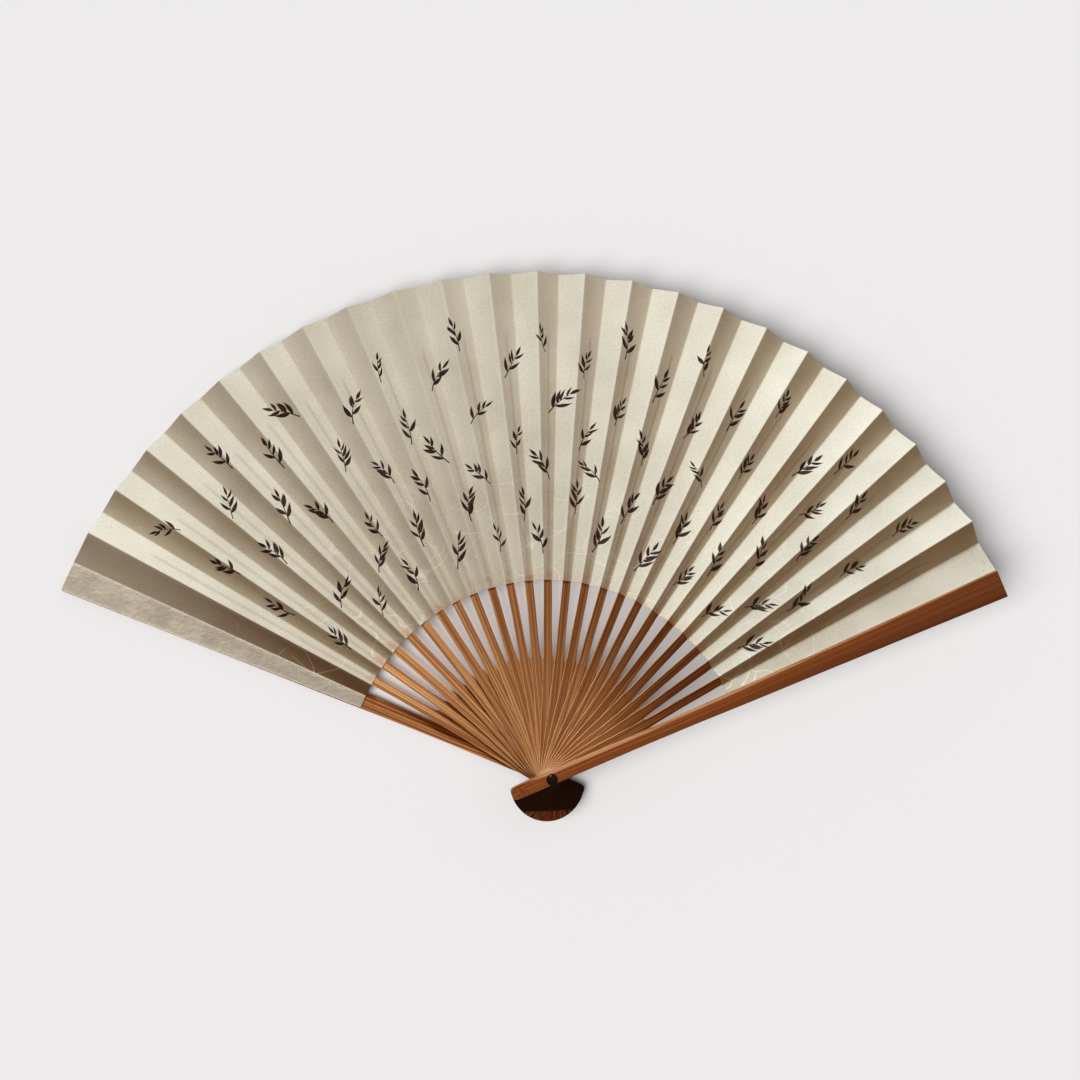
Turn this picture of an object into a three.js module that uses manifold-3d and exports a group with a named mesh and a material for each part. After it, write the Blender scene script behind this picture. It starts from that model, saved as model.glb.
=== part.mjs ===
// Folding fan, laid open: twenty-three split bamboo ribs between two guard sticks turn on one pin,
// and a pleated paper leaf is pasted to all of them. Millimetres, +Z up. The pin's axis is the Z
// axis, the fan opens evenly about +Y, and Z = 0 is the plane that the back guard lies on.
import * as THREE from "three";
import Module from "manifold-3d";

const wasm = await Module();
wasm.setup();

// Leaf
const LEAF_OUTER_R = 210;
const LEAF_INNER_R = 81.3;
const PLEAT_HEIGHT = 5.2; // valley to mountain, at the outer edge
const PAPER_THICKNESS = 0.3; // two glued layers, measured along Z
const PAPER_CLEARANCE = 0.05; // paper over the rib that it is pasted to
const CREASE_FROM_GUARD_AXIS = 6.1; // last crease at each guard, at the outer edge
const END_PANEL_INNER_HALF = 2.8; // free edge of the paper on a guard, at the leaf's inner edge
const END_PANEL_OUTER_HALF = 6.0; // the same, at the leaf's outer edge
const PLEAT_STATIONS = 6; // steps from the inner to the outer edge

// Where the sticks point
const RIB_COUNT = 23;
const RIB_STEP_DEG = 5.51;
const GUARD_STEP_DEG = 6.6;
const MIDDLE_DEG = 90;

// Ribs
const RIB_THICKNESS = 0.55;
const RIB_GAP = 0.15; // between one rib and the next on the pin
const RIB_SLIP_THICKNESS = 0.25; // the part between the paper layers
const RIB_TIP_R = 184; // where a rib ends inside the leaf
const RIB_SHOULDER_R = 83.5; // full width ends here, just under the paper
const RIB_SLIP_R = 92; // slip width starts here
const RIB_SLIP_HALF = 0.6;
const RIB_TIP_HALF = 0.45;
const TWIST_START_R = 20; // a rib is flat inside this and follows its pleat outside the next
const TWIST_END_R = 78;
const HEAD_REACH = 17.3; // from the pin's axis to the end of a stick's head
const RIB_HEAD_HALF = 3.5;
// Half width of a rib between its head and the leaf, by share of RIB_SHOULDER_R and RIB_HEAD_HALF
const RIB_STATION_SHARES = [
  { along: 0.06, width: 1.0 },
  { along: 0.15, width: 0.96 },
  { along: 0.24, width: 0.91 },
  { along: 0.33, width: 0.86 },
  { along: 0.42, width: 0.81 },
  { along: 0.51, width: 0.76 },
  { along: 0.57, width: 0.725 }, // the head's wider part ends here, in a small shoulder
  { along: 0.595, width: 0.575 },
  { along: 0.65, width: 0.535 },
  { along: 0.72, width: 0.525 },
  { along: 0.8, width: 0.53 },
  { along: 0.88, width: 0.537 },
  { along: 1.0, width: 0.527 },
];
// Rounded end of every head, by share of HEAD_REACH and of the head's half width
const HEAD_END_SHARES = [
  { along: 1.0, width: 0.42 },
  { along: 0.988, width: 0.7 },
  { along: 0.962, width: 0.85 },
  { along: 0.92, width: 0.93 },
  { along: 0.85, width: 0.965 },
  { along: 0.5, width: 1.0 },
];

// Guard sticks
const GUARD_HEAD_THICKNESS = 2.1;
const GUARD_BLADE_THICKNESS = 2.2;
const GUARD_RELIEF = 1.2; // how far the blade's inner face stands back from the head's
const GUARD_TIP_INSET = 0.5; // the tip stops this short of the leaf's outer edge
const RELIEF_START_R = 22;
const RELIEF_END_R = 46;
const BLADE_START_R = 60; // the outer face is flat from here to the tip
const GUARD_HEAD_INNER_HALF = 3.6; // towards the fan's middle
const GUARD_HEAD_OUTER_HALF = 2.1; // towards the open end
const GUARD_TIP_HALF = 6.07;
const GUARD_BEVEL_HEAD = 1.0; // bevel of the inner edge, near the pin
const GUARD_BEVEL_TIP = 0.35;
const GUARD_EDGE_BREAK = 0.25; // bevel of the outer edge
// Half widths along a blade: a share of the way from the head's half width to the tip's
const GUARD_STATION_SHARES = [
  { along: 0.0, inner: 0.0, outer: 0.0 },
  { along: 0.06, inner: -0.04, outer: 0.02 },
  { along: 0.12, inner: -0.1, outer: 0.04 },
  { along: 0.2, inner: -0.12, outer: 0.05 },
  { along: 0.24, inner: -0.1, outer: 0.08 },
  { along: 0.31, inner: -0.04, outer: 0.14 },
  { along: 0.38, inner: 0.03, outer: 0.24 },
  { along: 0.46, inner: 0.11, outer: 0.34 },
  { along: 0.56, inner: 0.23, outer: 0.45 },
  { along: 0.66, inner: 0.38, outer: 0.57 },
  { along: 0.76, inner: 0.54, outer: 0.69 },
  { along: 0.88, inner: 0.77, outer: 0.85 },
  { along: 1.0, inner: 1.0, outer: 1.0 },
];

// Pin
const PIN_R = 1.5;
const PIN_RUNNING_CLEARANCE = 0.08;
const PIN_HEAD_R = 2.35;
const PIN_DOME_HEIGHT = 1.15;
const PIN_HEAD_RIM = 0.3; // straight side of the domed head
const PIN_FOOT_EDGE = 0.25; // bevel round the flat lower head
const ROUND_SEGMENTS = 40;

// Colours
const BAMBOO_RIB = 0xa56c40;
const BAMBOO_GUARD = 0x84502b;
const PAPER = 0xded8c6;
const PAPER_ON_GUARD = 0xb4a892;
const HORN = 0x20120d;

// Levels that follow from the sizes above
const GUARD_HEAD_TOP = GUARD_BLADE_THICKNESS + GUARD_RELIEF;
const GUARD_HEAD_BOTTOM = GUARD_HEAD_TOP - GUARD_HEAD_THICKNESS;
const RIB_RISE = RIB_THICKNESS + RIB_GAP;
const FIRST_RIB_Z = GUARD_HEAD_TOP + RIB_GAP + RIB_THICKNESS / 2;
const STACK_TOP = GUARD_HEAD_TOP + RIB_COUNT * RIB_RISE + RIB_GAP;
const FAN_TOP = STACK_TOP + GUARD_HEAD_TOP;
const GUARD_REACH = LEAF_OUTER_R - GUARD_TIP_INSET;
const PLEAT_SLOPE = PLEAT_HEIGHT / 2 / LEAF_OUTER_R; // rise of a crease along its own length
const HALF_PANEL_DEG = RIB_STEP_DEG / 4;
// Fall across a rib's panel, from its mountain crease to its valley crease
const PANEL_TILT = PLEAT_SLOPE / Math.sin(THREE.MathUtils.degToRad(HALF_PANEL_DEG));
const GUARD_CREASE_DEG = THREE.MathUtils.radToDeg(
  Math.asin(CREASE_FROM_GUARD_AXIS / LEAF_OUTER_R),
);

const materials = {
  rib: new THREE.MeshStandardMaterial({ color: BAMBOO_RIB, roughness: 0.55 }),
  guard: new THREE.MeshStandardMaterial({ color: BAMBOO_GUARD, roughness: 0.5 }),
  paper: new THREE.MeshStandardMaterial({ color: PAPER, roughness: 0.9 }),
  paperOnGuard: new THREE.MeshStandardMaterial({ color: PAPER_ON_GUARD, roughness: 0.9 }),
  pin: new THREE.MeshStandardMaterial({ color: HORN, roughness: 0.2 }),
};

// Angle of a rib, counted from 1 at the back guard's side.
function ribDeg(n) {
  return MIDDLE_DEG + ((RIB_COUNT + 1) / 2 - n) * RIB_STEP_DEG;
}

function ribZ(n) {
  return FIRST_RIB_Z + (n - 1) * RIB_RISE;
}

const BACK_GUARD_DEG = ribDeg(1) + GUARD_STEP_DEG;
const FRONT_GUARD_DEG = ribDeg(RIB_COUNT) - GUARD_STEP_DEG;

// A closed body through cross sections that all have the same number of points.
function loft(sections) {
  const n = sections[0].length;
  const last = sections.length - 1;
  const positions = sections.flat().flatMap((p) => [p.x, p.y, p.z]);
  const index = [];
  for (let i = 0; i < last; i++)
    for (let j = 0; j < n; j++) {
      const a = i * n + j;
      const b = i * n + ((j + 1) % n);
      index.push(a, b, b + n, a, b + n, a + n);
    }
  for (let j = 1; j < n - 1; j++) {
    index.push(0, j + 1, j);
    index.push(last * n, last * n + j, last * n + j + 1);
  }
  const geometry = new THREE.BufferGeometry();
  geometry.setAttribute("position", new THREE.Float32BufferAttribute(positions, 3));
  geometry.setIndex(index);
  return facingOut(geometry);
}

// The same geometry, with its faces turned round if they point inwards.
function facingOut(geometry) {
  const at = geometry.attributes.position;
  const index = geometry.index.array;
  const [a, b, c] = [new THREE.Vector3(), new THREE.Vector3(), new THREE.Vector3()];
  let volume = 0;
  for (let i = 0; i < index.length; i += 3) {
    a.fromBufferAttribute(at, index[i]);
    b.fromBufferAttribute(at, index[i + 1]);
    c.fromBufferAttribute(at, index[i + 2]);
    volume += a.dot(b.cross(c));
  }
  if (volume < 0)
    for (let i = 0; i < index.length; i += 3)
      [index[i + 1], index[i + 2]] = [index[i + 2], index[i + 1]];
  return geometry;
}

function toManifold(geometry) {
  const { position } = geometry.attributes;
  return new wasm.Manifold(
    new wasm.Mesh({
      numProp: 3,
      vertProperties: new Float32Array(position.array),
      triVerts: new Uint32Array(geometry.index.array),
    }),
  );
}

function toGeometry(solid) {
  const mesh = solid.getMesh();
  const geometry = new THREE.BufferGeometry();
  geometry.setAttribute("position", new THREE.BufferAttribute(mesh.vertProperties, 3));
  geometry.setIndex(new THREE.BufferAttribute(mesh.triVerts, 1));
  return geometry;
}

// A stick with its running hole for the pin.
function withPinHole(geometry) {
  const hole = wasm.Manifold.cylinder(
    2 * FAN_TOP,
    PIN_R + PIN_RUNNING_CLEARANCE,
    PIN_R + PIN_RUNNING_CLEARANCE,
    ROUND_SEGMENTS,
    true,
  );
  return toGeometry(toManifold(geometry).subtract(hole));
}

function finished(name, geometry, material) {
  const flat = geometry.toNonIndexed();
  flat.computeVertexNormals();
  const mesh = new THREE.Mesh(flat, material);
  mesh.name = name;
  return mesh;
}

function smooth(from, to, r) {
  return THREE.MathUtils.smoothstep(r, from, to);
}

// A stick's stations from the end of its head to the pin: how far out, and the share of head width.
function headStations() {
  return HEAD_END_SHARES.map(({ along, width }) => ({ r: -HEAD_REACH * along, width }));
}

// A rib lying along +X, its own middle at Z = 0: flat at the pin, turned to its pleat at the leaf.
function ribGeometry() {
  const stations = [
    ...headStations().map(({ r, width }) => ({ r, half: RIB_HEAD_HALF * width })),
    ...RIB_STATION_SHARES.map(({ along, width }) => ({
      r: RIB_SHOULDER_R * along,
      half: RIB_HEAD_HALF * width,
    })),
    { r: RIB_SLIP_R, half: RIB_SLIP_HALF },
    { r: RIB_TIP_R, half: RIB_TIP_HALF },
  ];
  const top = RIB_THICKNESS / 2;
  const sections = stations.map(({ r, half }) => {
    const tilt = PANEL_TILT * smooth(TWIST_START_R, TWIST_END_R, r);
    const thinning = smooth(RIB_SHOULDER_R, RIB_SLIP_R, r);
    const thick = THREE.MathUtils.lerp(RIB_THICKNESS, RIB_SLIP_THICKNESS, thinning);
    // +Y is the side of the mountain crease
    return [
      new THREE.Vector3(r, -half, top - thick - tilt * half),
      new THREE.Vector3(r, half, top - thick + tilt * half),
      new THREE.Vector3(r, half, top + tilt * half),
      new THREE.Vector3(r, -half, top - tilt * half),
    ];
  });
  return withPinHole(loft(sections));
}

// Half widths of a guard stick along its blade.
function guardStations() {
  const head = headStations().map(({ r, width }) => ({
    r,
    inner: GUARD_HEAD_INNER_HALF * width,
    outer: GUARD_HEAD_OUTER_HALF * width,
  }));
  const blade = GUARD_STATION_SHARES.map(({ along, inner, outer }) => ({
    r: GUARD_REACH * along,
    inner: THREE.MathUtils.lerp(GUARD_HEAD_INNER_HALF, GUARD_TIP_HALF, inner),
    outer: THREE.MathUtils.lerp(GUARD_HEAD_OUTER_HALF, GUARD_TIP_HALF, outer),
  }));
  return [...head, ...blade];
}

// A guard stick along +X with its resting face down and its inner edge on the given side of X.
// Its head is raised clear of the resting plane for the pin's head, and its blade's inner face
// stands back to leave room for the ribs' twist and for the folded leaf.
function guardGeometry(innerSide) {
  const headRise = GUARD_HEAD_BOTTOM;
  const sections = guardStations().map(({ r, inner, outer }) => {
    const bottom = headRise * (1 - smooth(RELIEF_START_R, BLADE_START_R, r));
    const top = GUARD_HEAD_TOP - GUARD_RELIEF * smooth(RELIEF_START_R, RELIEF_END_R, r);
    const along = THREE.MathUtils.clamp(r / GUARD_REACH, 0, 1);
    const bevel = THREE.MathUtils.lerp(GUARD_BEVEL_HEAD, GUARD_BEVEL_TIP, along);
    const edge = GUARD_EDGE_BREAK;
    return [
      new THREE.Vector3(r, innerSide * inner, top),
      new THREE.Vector3(r, -innerSide * outer, top),
      new THREE.Vector3(r, -innerSide * outer, bottom + edge),
      new THREE.Vector3(r, -innerSide * (outer - edge), bottom),
      new THREE.Vector3(r, innerSide * (inner - bevel), bottom),
      new THREE.Vector3(r, innerSide * inner, bottom + bevel),
    ];
  });
  return withPinHole(loft(sections));
}

// The pin: a flat lower head that reaches the resting plane, the shank through every stick, and a
// domed upper head.
function pinGeometry() {
  const low = GUARD_HEAD_BOTTOM;
  const high = FAN_TOP - GUARD_HEAD_BOTTOM;
  const outline = [
    new THREE.Vector2(0, 0),
    new THREE.Vector2(PIN_HEAD_R - PIN_FOOT_EDGE, 0),
    new THREE.Vector2(PIN_HEAD_R, PIN_FOOT_EDGE),
    new THREE.Vector2(PIN_HEAD_R, low),
    new THREE.Vector2(PIN_R, low),
    new THREE.Vector2(PIN_R, high),
  ];
  const steps = 7;
  for (let i = 0; i <= steps; i++) {
    const turn = (i / steps) * (Math.PI / 2);
    if (i === 0) outline.push(new THREE.Vector2(PIN_HEAD_R, high));
    const r = i === steps ? 0 : PIN_HEAD_R * Math.cos(turn);
    const z = high + PIN_HEAD_RIM + (PIN_DOME_HEIGHT - PIN_HEAD_RIM) * Math.sin(turn);
    outline.push(new THREE.Vector2(r, z));
  }
  const turned = new THREE.LatheGeometry(outline, ROUND_SEGMENTS);
  turned.rotateX(Math.PI / 2);
  return facingOut(turned);
}

// A line along the leaf from its inner to its outer edge, as points on the paper's underside.
function leafLine(inner, outer) {
  const points = [];
  for (let i = 0; i <= PLEAT_STATIONS; i++)
    points.push(new THREE.Vector3().lerpVectors(inner, outer, i / PLEAT_STATIONS));
  return points;
}

// A line that runs straight out from the pin's axis, starting at a height and rising by a slope.
function radialLine(deg, apexZ, slope) {
  const turn = THREE.MathUtils.degToRad(deg);
  const at = (r) => new THREE.Vector3(r * Math.cos(turn), r * Math.sin(turn), apexZ + slope * r);
  return leafLine(at(LEAF_INNER_R), at(LEAF_OUTER_R));
}

// The free edge of the paper on a guard, on the given side of the guard's own axis.
function freeEdgeLine(deg, z, side) {
  const turn = THREE.MathUtils.degToRad(deg);
  const at = (r, half) => {
    const along = Math.sqrt(r * r - half * half);
    return new THREE.Vector3(
      along * Math.cos(turn) - side * half * Math.sin(turn),
      along * Math.sin(turn) + side * half * Math.cos(turn),
      z,
    );
  };
  return leafLine(at(LEAF_INNER_R, END_PANEL_INNER_HALF), at(LEAF_OUTER_R, END_PANEL_OUTER_HALF));
}

// A sheet of paper through neighbouring lines.
function sheetGeometry(lines) {
  const raised = (p) => new THREE.Vector3(p.x, p.y, p.z + PAPER_THICKNESS);
  const sections = lines[0].map((_, i) => [
    ...lines.map((line) => line[i]),
    ...lines.map((line) => raised(line[i])).reverse(),
  ]);
  return sheetLoft(sections, lines.length);
}

// As loft, with each end closed in four-sided steps, because a folded sheet's end is not convex.
function sheetLoft(sections, across) {
  const n = sections[0].length;
  const last = sections.length - 1;
  const positions = sections.flat().flatMap((p) => [p.x, p.y, p.z]);
  const index = [];
  for (let i = 0; i < last; i++)
    for (let j = 0; j < n; j++) {
      const a = i * n + j;
      const b = i * n + ((j + 1) % n);
      index.push(a, b, b + n, a, b + n, a + n);
    }
  for (let j = 0; j < across - 1; j++) {
    const [a, b, c, d] = [j, j + 1, n - 2 - j, n - 1 - j];
    index.push(a, c, b, a, d, c);
    const far = last * n;
    index.push(far + a, far + b, far + c, far + a, far + c, far + d);
  }
  const geometry = new THREE.BufferGeometry();
  geometry.setAttribute("position", new THREE.Float32BufferAttribute(positions, 3));
  geometry.setIndex(index);
  return facingOut(geometry);
}

// Height of the paper's underside over a rib, on the pin's axis.
function paperApexZ(n) {
  return ribZ(n) + RIB_THICKNESS / 2 + PAPER_CLEARANCE;
}

// The three lines of a rib's panel: its mountain crease, its middle and its valley crease.
function panelLines(n) {
  return {
    mountain: radialLine(ribDeg(n) + HALF_PANEL_DEG, paperApexZ(n), PLEAT_SLOPE),
    middle: radialLine(ribDeg(n), paperApexZ(n), 0),
    valley: radialLine(ribDeg(n) - HALF_PANEL_DEG, paperApexZ(n), -PLEAT_SLOPE),
  };
}

// Paper between two neighbouring sticks, from the middle of one rib's panel to the next one's.
function leafFolds() {
  const onBack = GUARD_BLADE_THICKNESS;
  const onFront = FAN_TOP - GUARD_BLADE_THICKNESS - PAPER_THICKNESS;
  const backCrease = radialLine(BACK_GUARD_DEG - GUARD_CREASE_DEG, onBack, 0);
  const frontCrease = radialLine(FRONT_GUARD_DEG + GUARD_CREASE_DEG, onFront, 0);
  const panels = Array.from({ length: RIB_COUNT }, (_, i) => panelLines(i + 1));
  const folds = [sheetGeometry([backCrease, panels[0].mountain, panels[0].middle])];
  for (let i = 0; i + 1 < RIB_COUNT; i++)
    folds.push(
      sheetGeometry([
        panels[i].middle,
        panels[i].valley,
        panels[i + 1].mountain,
        panels[i + 1].middle,
      ]),
    );
  const end = panels[RIB_COUNT - 1];
  folds.push(sheetGeometry([end.middle, end.valley, frontCrease]));
  const meshes = folds.map((geometry, i) =>
    finished(`leaf_fold_${twoDigits(i + 1)}`, geometry, materials.paper),
  );
  meshes.push(
    finished(
      "leaf_end_back",
      sheetGeometry([freeEdgeLine(BACK_GUARD_DEG, onBack, 1), backCrease]),
      materials.paperOnGuard,
    ),
    finished(
      "leaf_end_front",
      sheetGeometry([frontCrease, freeEdgeLine(FRONT_GUARD_DEG, onFront, -1)]),
      materials.paperOnGuard,
    ),
  );
  return meshes;
}

function twoDigits(n) {
  return String(n).padStart(2, "0");
}

function ribs() {
  const geometry = ribGeometry();
  const meshes = [];
  for (let n = 1; n <= RIB_COUNT; n++) {
    const rib = finished(`rib_${twoDigits(n)}`, geometry, materials.rib);
    rib.position.z = ribZ(n);
    rib.rotation.z = THREE.MathUtils.degToRad(ribDeg(n));
    meshes.push(rib);
  }
  return meshes;
}

function guards() {
  const back = finished("back_guard", guardGeometry(-1), materials.guard);
  back.rotation.z = THREE.MathUtils.degToRad(BACK_GUARD_DEG);
  // The front guard is the same stick turned over, so its resting face is the fan's top.
  const front = finished("front_guard", guardGeometry(-1), materials.guard);
  front.rotation.set(Math.PI, 0, THREE.MathUtils.degToRad(FRONT_GUARD_DEG), "ZYX");
  front.position.z = FAN_TOP;
  return [back, front];
}

function buildFan() {
  const fan = new THREE.Group();
  fan.name = "folding_fan";
  fan.add(...guards(), ...ribs(), ...leafFolds());
  fan.add(finished("pivot_pin", pinGeometry(), materials.pin));
  return fan;
}

export default buildFan();
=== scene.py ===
"""Looks of a folding fan that lies open on a pale floor.

Twenty-three split bamboo ribs and two guard sticks turn on one horn pin. A pleated paper leaf is
pasted to all of them, and sprigs of leaves are painted on it in ink. Lengths are in metres, +Z is
up, and the Z axis is the pin's.
"""

import logging
import math
from collections.abc import Callable, Sequence
from dataclasses import dataclass, field
from enum import Enum

import bpy
import numpy as np
from mathutils import Matrix, Vector
from mathutils.geometry import delaunay_2d_cdt

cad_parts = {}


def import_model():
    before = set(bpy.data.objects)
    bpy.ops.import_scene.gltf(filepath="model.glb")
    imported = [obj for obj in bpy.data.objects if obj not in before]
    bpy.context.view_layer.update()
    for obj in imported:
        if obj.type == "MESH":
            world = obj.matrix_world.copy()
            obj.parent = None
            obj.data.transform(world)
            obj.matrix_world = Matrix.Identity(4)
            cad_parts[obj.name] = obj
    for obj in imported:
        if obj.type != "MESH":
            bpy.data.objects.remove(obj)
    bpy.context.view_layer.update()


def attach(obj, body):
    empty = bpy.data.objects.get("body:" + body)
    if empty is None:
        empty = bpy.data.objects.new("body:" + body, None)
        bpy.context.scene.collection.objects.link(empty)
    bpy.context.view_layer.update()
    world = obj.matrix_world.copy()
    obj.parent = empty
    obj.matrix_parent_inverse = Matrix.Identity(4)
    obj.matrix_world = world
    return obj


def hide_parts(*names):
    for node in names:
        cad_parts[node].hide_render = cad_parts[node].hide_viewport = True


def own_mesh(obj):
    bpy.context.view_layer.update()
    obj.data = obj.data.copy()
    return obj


LOG = logging.getLogger("folding_fan")
MM = 0.001


class Side(Enum):
    """Which guard stick a piece belongs to."""

    BACK = "back"
    FRONT = "front"


class Slot(Enum):
    """Names of material slots."""

    GUARD = "bamboo_guard"
    RIB = "bamboo_rib"
    LEAF = "leaf_paper"
    GUARD_PAPER = "guard_paper"
    PIN = "pin_horn"


# Small shared maths


def ease(low: float, high: float, value: np.ndarray | float) -> np.ndarray | float:
    """A smooth step.

    Args:
        low: Where the step starts.
        high: Where it ends; it may be below low.
        value: The number or numbers to place on it.

    Returns:
        0 at low, 1 at high, and a smooth rise between them.
    """
    t = np.clip((value - low) / (high - low), 0.0, 1.0)
    return t * t * (3 - 2 * t)


def smooth_rows(knots: np.ndarray, per_span: int) -> np.ndarray:
    """Rows that run smoothly through a table without overshooting it.

    Args:
        knots: The table, one knot a row.
        per_span: New rows for each span between two knots.

    Returns:
        The finer table, with the first and last knots at its ends.
    """
    steps = np.maximum(np.linalg.norm(np.diff(knots, axis=0), axis=1), 1e-9)
    at = np.concatenate([[0.0], np.cumsum(steps)])
    slope = np.diff(knots, axis=0) / steps[:, None]
    tangent = np.vstack([slope[:1], np.zeros((len(knots) - 2, knots.shape[1])), slope[-1:]])
    for i in range(1, len(knots) - 1):
        a, b, ha, hb = slope[i - 1], slope[i], steps[i - 1], steps[i]
        same = a * b > 0
        wa, wb = 2 * hb + ha, hb + 2 * ha
        with np.errstate(divide="ignore", invalid="ignore"):
            mean = (wa + wb) / (wa / a + wb / b)
        tangent[i] = np.where(same, mean, 0.0)
    rows = []
    for i, h in enumerate(steps):
        last = i == len(steps) - 1
        for t in np.linspace(0, 1, per_span + 1)[: None if last else -1]:
            rows.append(
                (2 * t**3 - 3 * t**2 + 1) * knots[i]
                + (t**3 - 2 * t**2 + t) * h * tangent[i]
                + (3 * t**2 - 2 * t**3) * knots[i + 1]
                + (t**3 - t**2) * h * tangent[i + 1]
            )
    return np.array(rows)


def turned(deg: float, height: float = 0.0, over: bool = False) -> Matrix:
    """The place of a stick that is built along +X.

    Args:
        deg: Where the stick points.
        height: How far it is raised.
        over: Whether it is turned over about its own length first.

    Returns:
        The matrix from the stick's own frame to the fan's.
    """
    place = Matrix.Translation((0, 0, height)) @ Matrix.Rotation(math.radians(deg), 4, "Z")
    return place @ Matrix.Rotation(math.pi, 4, "X") if over else place


# The fan's layout


@dataclass(frozen=True)
class Crease:
    """A fold of the leaf: its direction, and the height of the paper's underside along it."""

    deg: float
    start: float
    rise: float = 0.0

    def height(self, reach: np.ndarray | float) -> np.ndarray | float:
        """Height of the fold at a distance from the pin's axis."""
        return self.start + self.rise * reach


@dataclass(frozen=True)
class Layout:
    """Where the sticks point, how high they lie and where the leaf is folded."""

    rib_count: int = 23
    rib_step_deg: float = 5.51
    guard_step_deg: float = 6.6
    middle_deg: float = 90.0
    first_rib: float = 3.825 * MM
    rib_rise: float = 0.7 * MM
    fan_top: float = 23.05 * MM
    blade_thickness: float = 2.2 * MM
    leaf_inner: float = 81.3 * MM
    leaf_outer: float = 210.0 * MM
    pleat_height: float = 5.2 * MM
    paper: float = 0.3 * MM
    paper_over_rib: float = 0.325 * MM
    guard_crease: float = 6.1 * MM
    twist_start: float = 20.0 * MM
    twist_end: float = 78.0 * MM

    @property
    def pleat_rise(self) -> float:
        """How fast a mountain fold climbs along its own length."""
        return self.pleat_height / 2 / self.leaf_outer

    @property
    def half_panel_deg(self) -> float:
        """Half the angle of a panel."""
        return self.rib_step_deg / 4

    @property
    def tilt(self) -> float:
        """Slope across a rib's panel."""
        return self.pleat_rise / math.sin(math.radians(self.half_panel_deg))

    @property
    def guard_crease_deg(self) -> float:
        """Angle from a guard's middle to the last fold."""
        return math.degrees(math.asin(self.guard_crease / self.leaf_outer))

    def rib_deg(self, n: int) -> float:
        """Direction of rib n, counted from 1 at the back guard."""
        return self.middle_deg + ((self.rib_count + 1) / 2 - n) * self.rib_step_deg

    def rib_z(self, n: int) -> float:
        """Height of the middle of rib n."""
        return self.first_rib + (n - 1) * self.rib_rise

    def guard_deg(self, side: Side) -> float:
        """Direction of a guard stick."""
        if side is Side.BACK:
            return self.rib_deg(1) + self.guard_step_deg
        return self.rib_deg(self.rib_count) - self.guard_step_deg

    def guard_paper_z(self, side: Side) -> float:
        """Height of the underside of the paper that is pasted to a guard stick."""
        if side is Side.BACK:
            return self.blade_thickness
        return self.fan_top - self.blade_thickness - self.paper

    def guard_fold(self, side: Side) -> Crease:
        """The fold that joins the leaf to the paper on a guard stick."""
        turn = -self.guard_crease_deg if side is Side.BACK else self.guard_crease_deg
        return Crease(self.guard_deg(side) + turn, self.guard_paper_z(side))

    def _rib_fold(self, n: int, side: int) -> Crease:
        """The fold at one side of rib n: 1 is its left, -1 its right."""
        start = self.rib_z(n) + self.paper_over_rib
        return Crease(self.rib_deg(n) + side * self.half_panel_deg, start, side * self.pleat_rise)

    def mountain(self, n: int) -> Crease:
        """The high fold at the left of rib n."""
        return self._rib_fold(n, 1)

    def valley(self, n: int) -> Crease:
        """The low fold at the right of rib n."""
        return self._rib_fold(n, -1)

    def twist(self, reach: np.ndarray | float) -> np.ndarray | float:
        """How far a rib has turned towards its panel's slope, at a distance from the pin."""
        return self.tilt * ease(self.twist_start, self.twist_end, reach)


# Meshes


@dataclass
class Draft:
    """A closed mesh on its way to an object."""

    points: np.ndarray
    faces: list[tuple[int, ...]]
    tones: dict[str, np.ndarray] = field(default_factory=dict)
    slots: np.ndarray | None = None

    def mesh(self, name: str, sharp_deg: float) -> bpy.types.Mesh:
        """Makes the mesh, smooth except where its faces meet at more than an angle.

        Args:
            name: The mesh's name.
            sharp_deg: The angle from which an edge stays sharp.

        Returns:
            The new mesh.
        """
        mesh = bpy.data.meshes.new(name)
        mesh.from_pydata([tuple(p) for p in self.points], [], self.faces)
        for tone, values in self.tones.items():
            layer = mesh.attributes.new(tone, "FLOAT", "POINT")
            layer.data.foreach_set("value", np.asarray(values, np.float32))
        if self.slots is not None:
            mesh.polygons.foreach_set("material_index", self.slots)
        mesh.shade_smooth()
        mesh.set_sharp_from_angle(angle=math.radians(sharp_deg))
        mesh.update()
        return mesh


def loft(sections: np.ndarray) -> Draft:
    """A closed body through cross sections.

    Args:
        sections: Points by section, point and axis, each section in the same order.

    Returns:
        The body, with one face at each end.
    """
    count, around = sections.shape[:2]
    faces: list[tuple[int, ...]] = []
    for i in range(count - 1):
        for j in range(around):
            a, b = i * around + j, i * around + (j + 1) % around
            faces.append((a, b, b + around, a + around))
    faces.append(tuple(range(around))[::-1])
    faces.append(tuple(range((count - 1) * around, count * around)))
    points = sections.reshape(-1, 3)
    volume = sum(
        float(points[f[0]] @ np.cross(points[f[k]], points[f[k + 1]]))
        for f in faces
        for k in range(1, len(f) - 1)
    )
    return Draft(points, [f[::-1] for f in faces] if volume < 0 else faces)


def placed(name: str, data: bpy.types.ID) -> bpy.types.Object:
    """A new object in the scene."""
    made = bpy.data.objects.new(name, data)
    bpy.context.scene.collection.objects.link(made)
    return made


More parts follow.
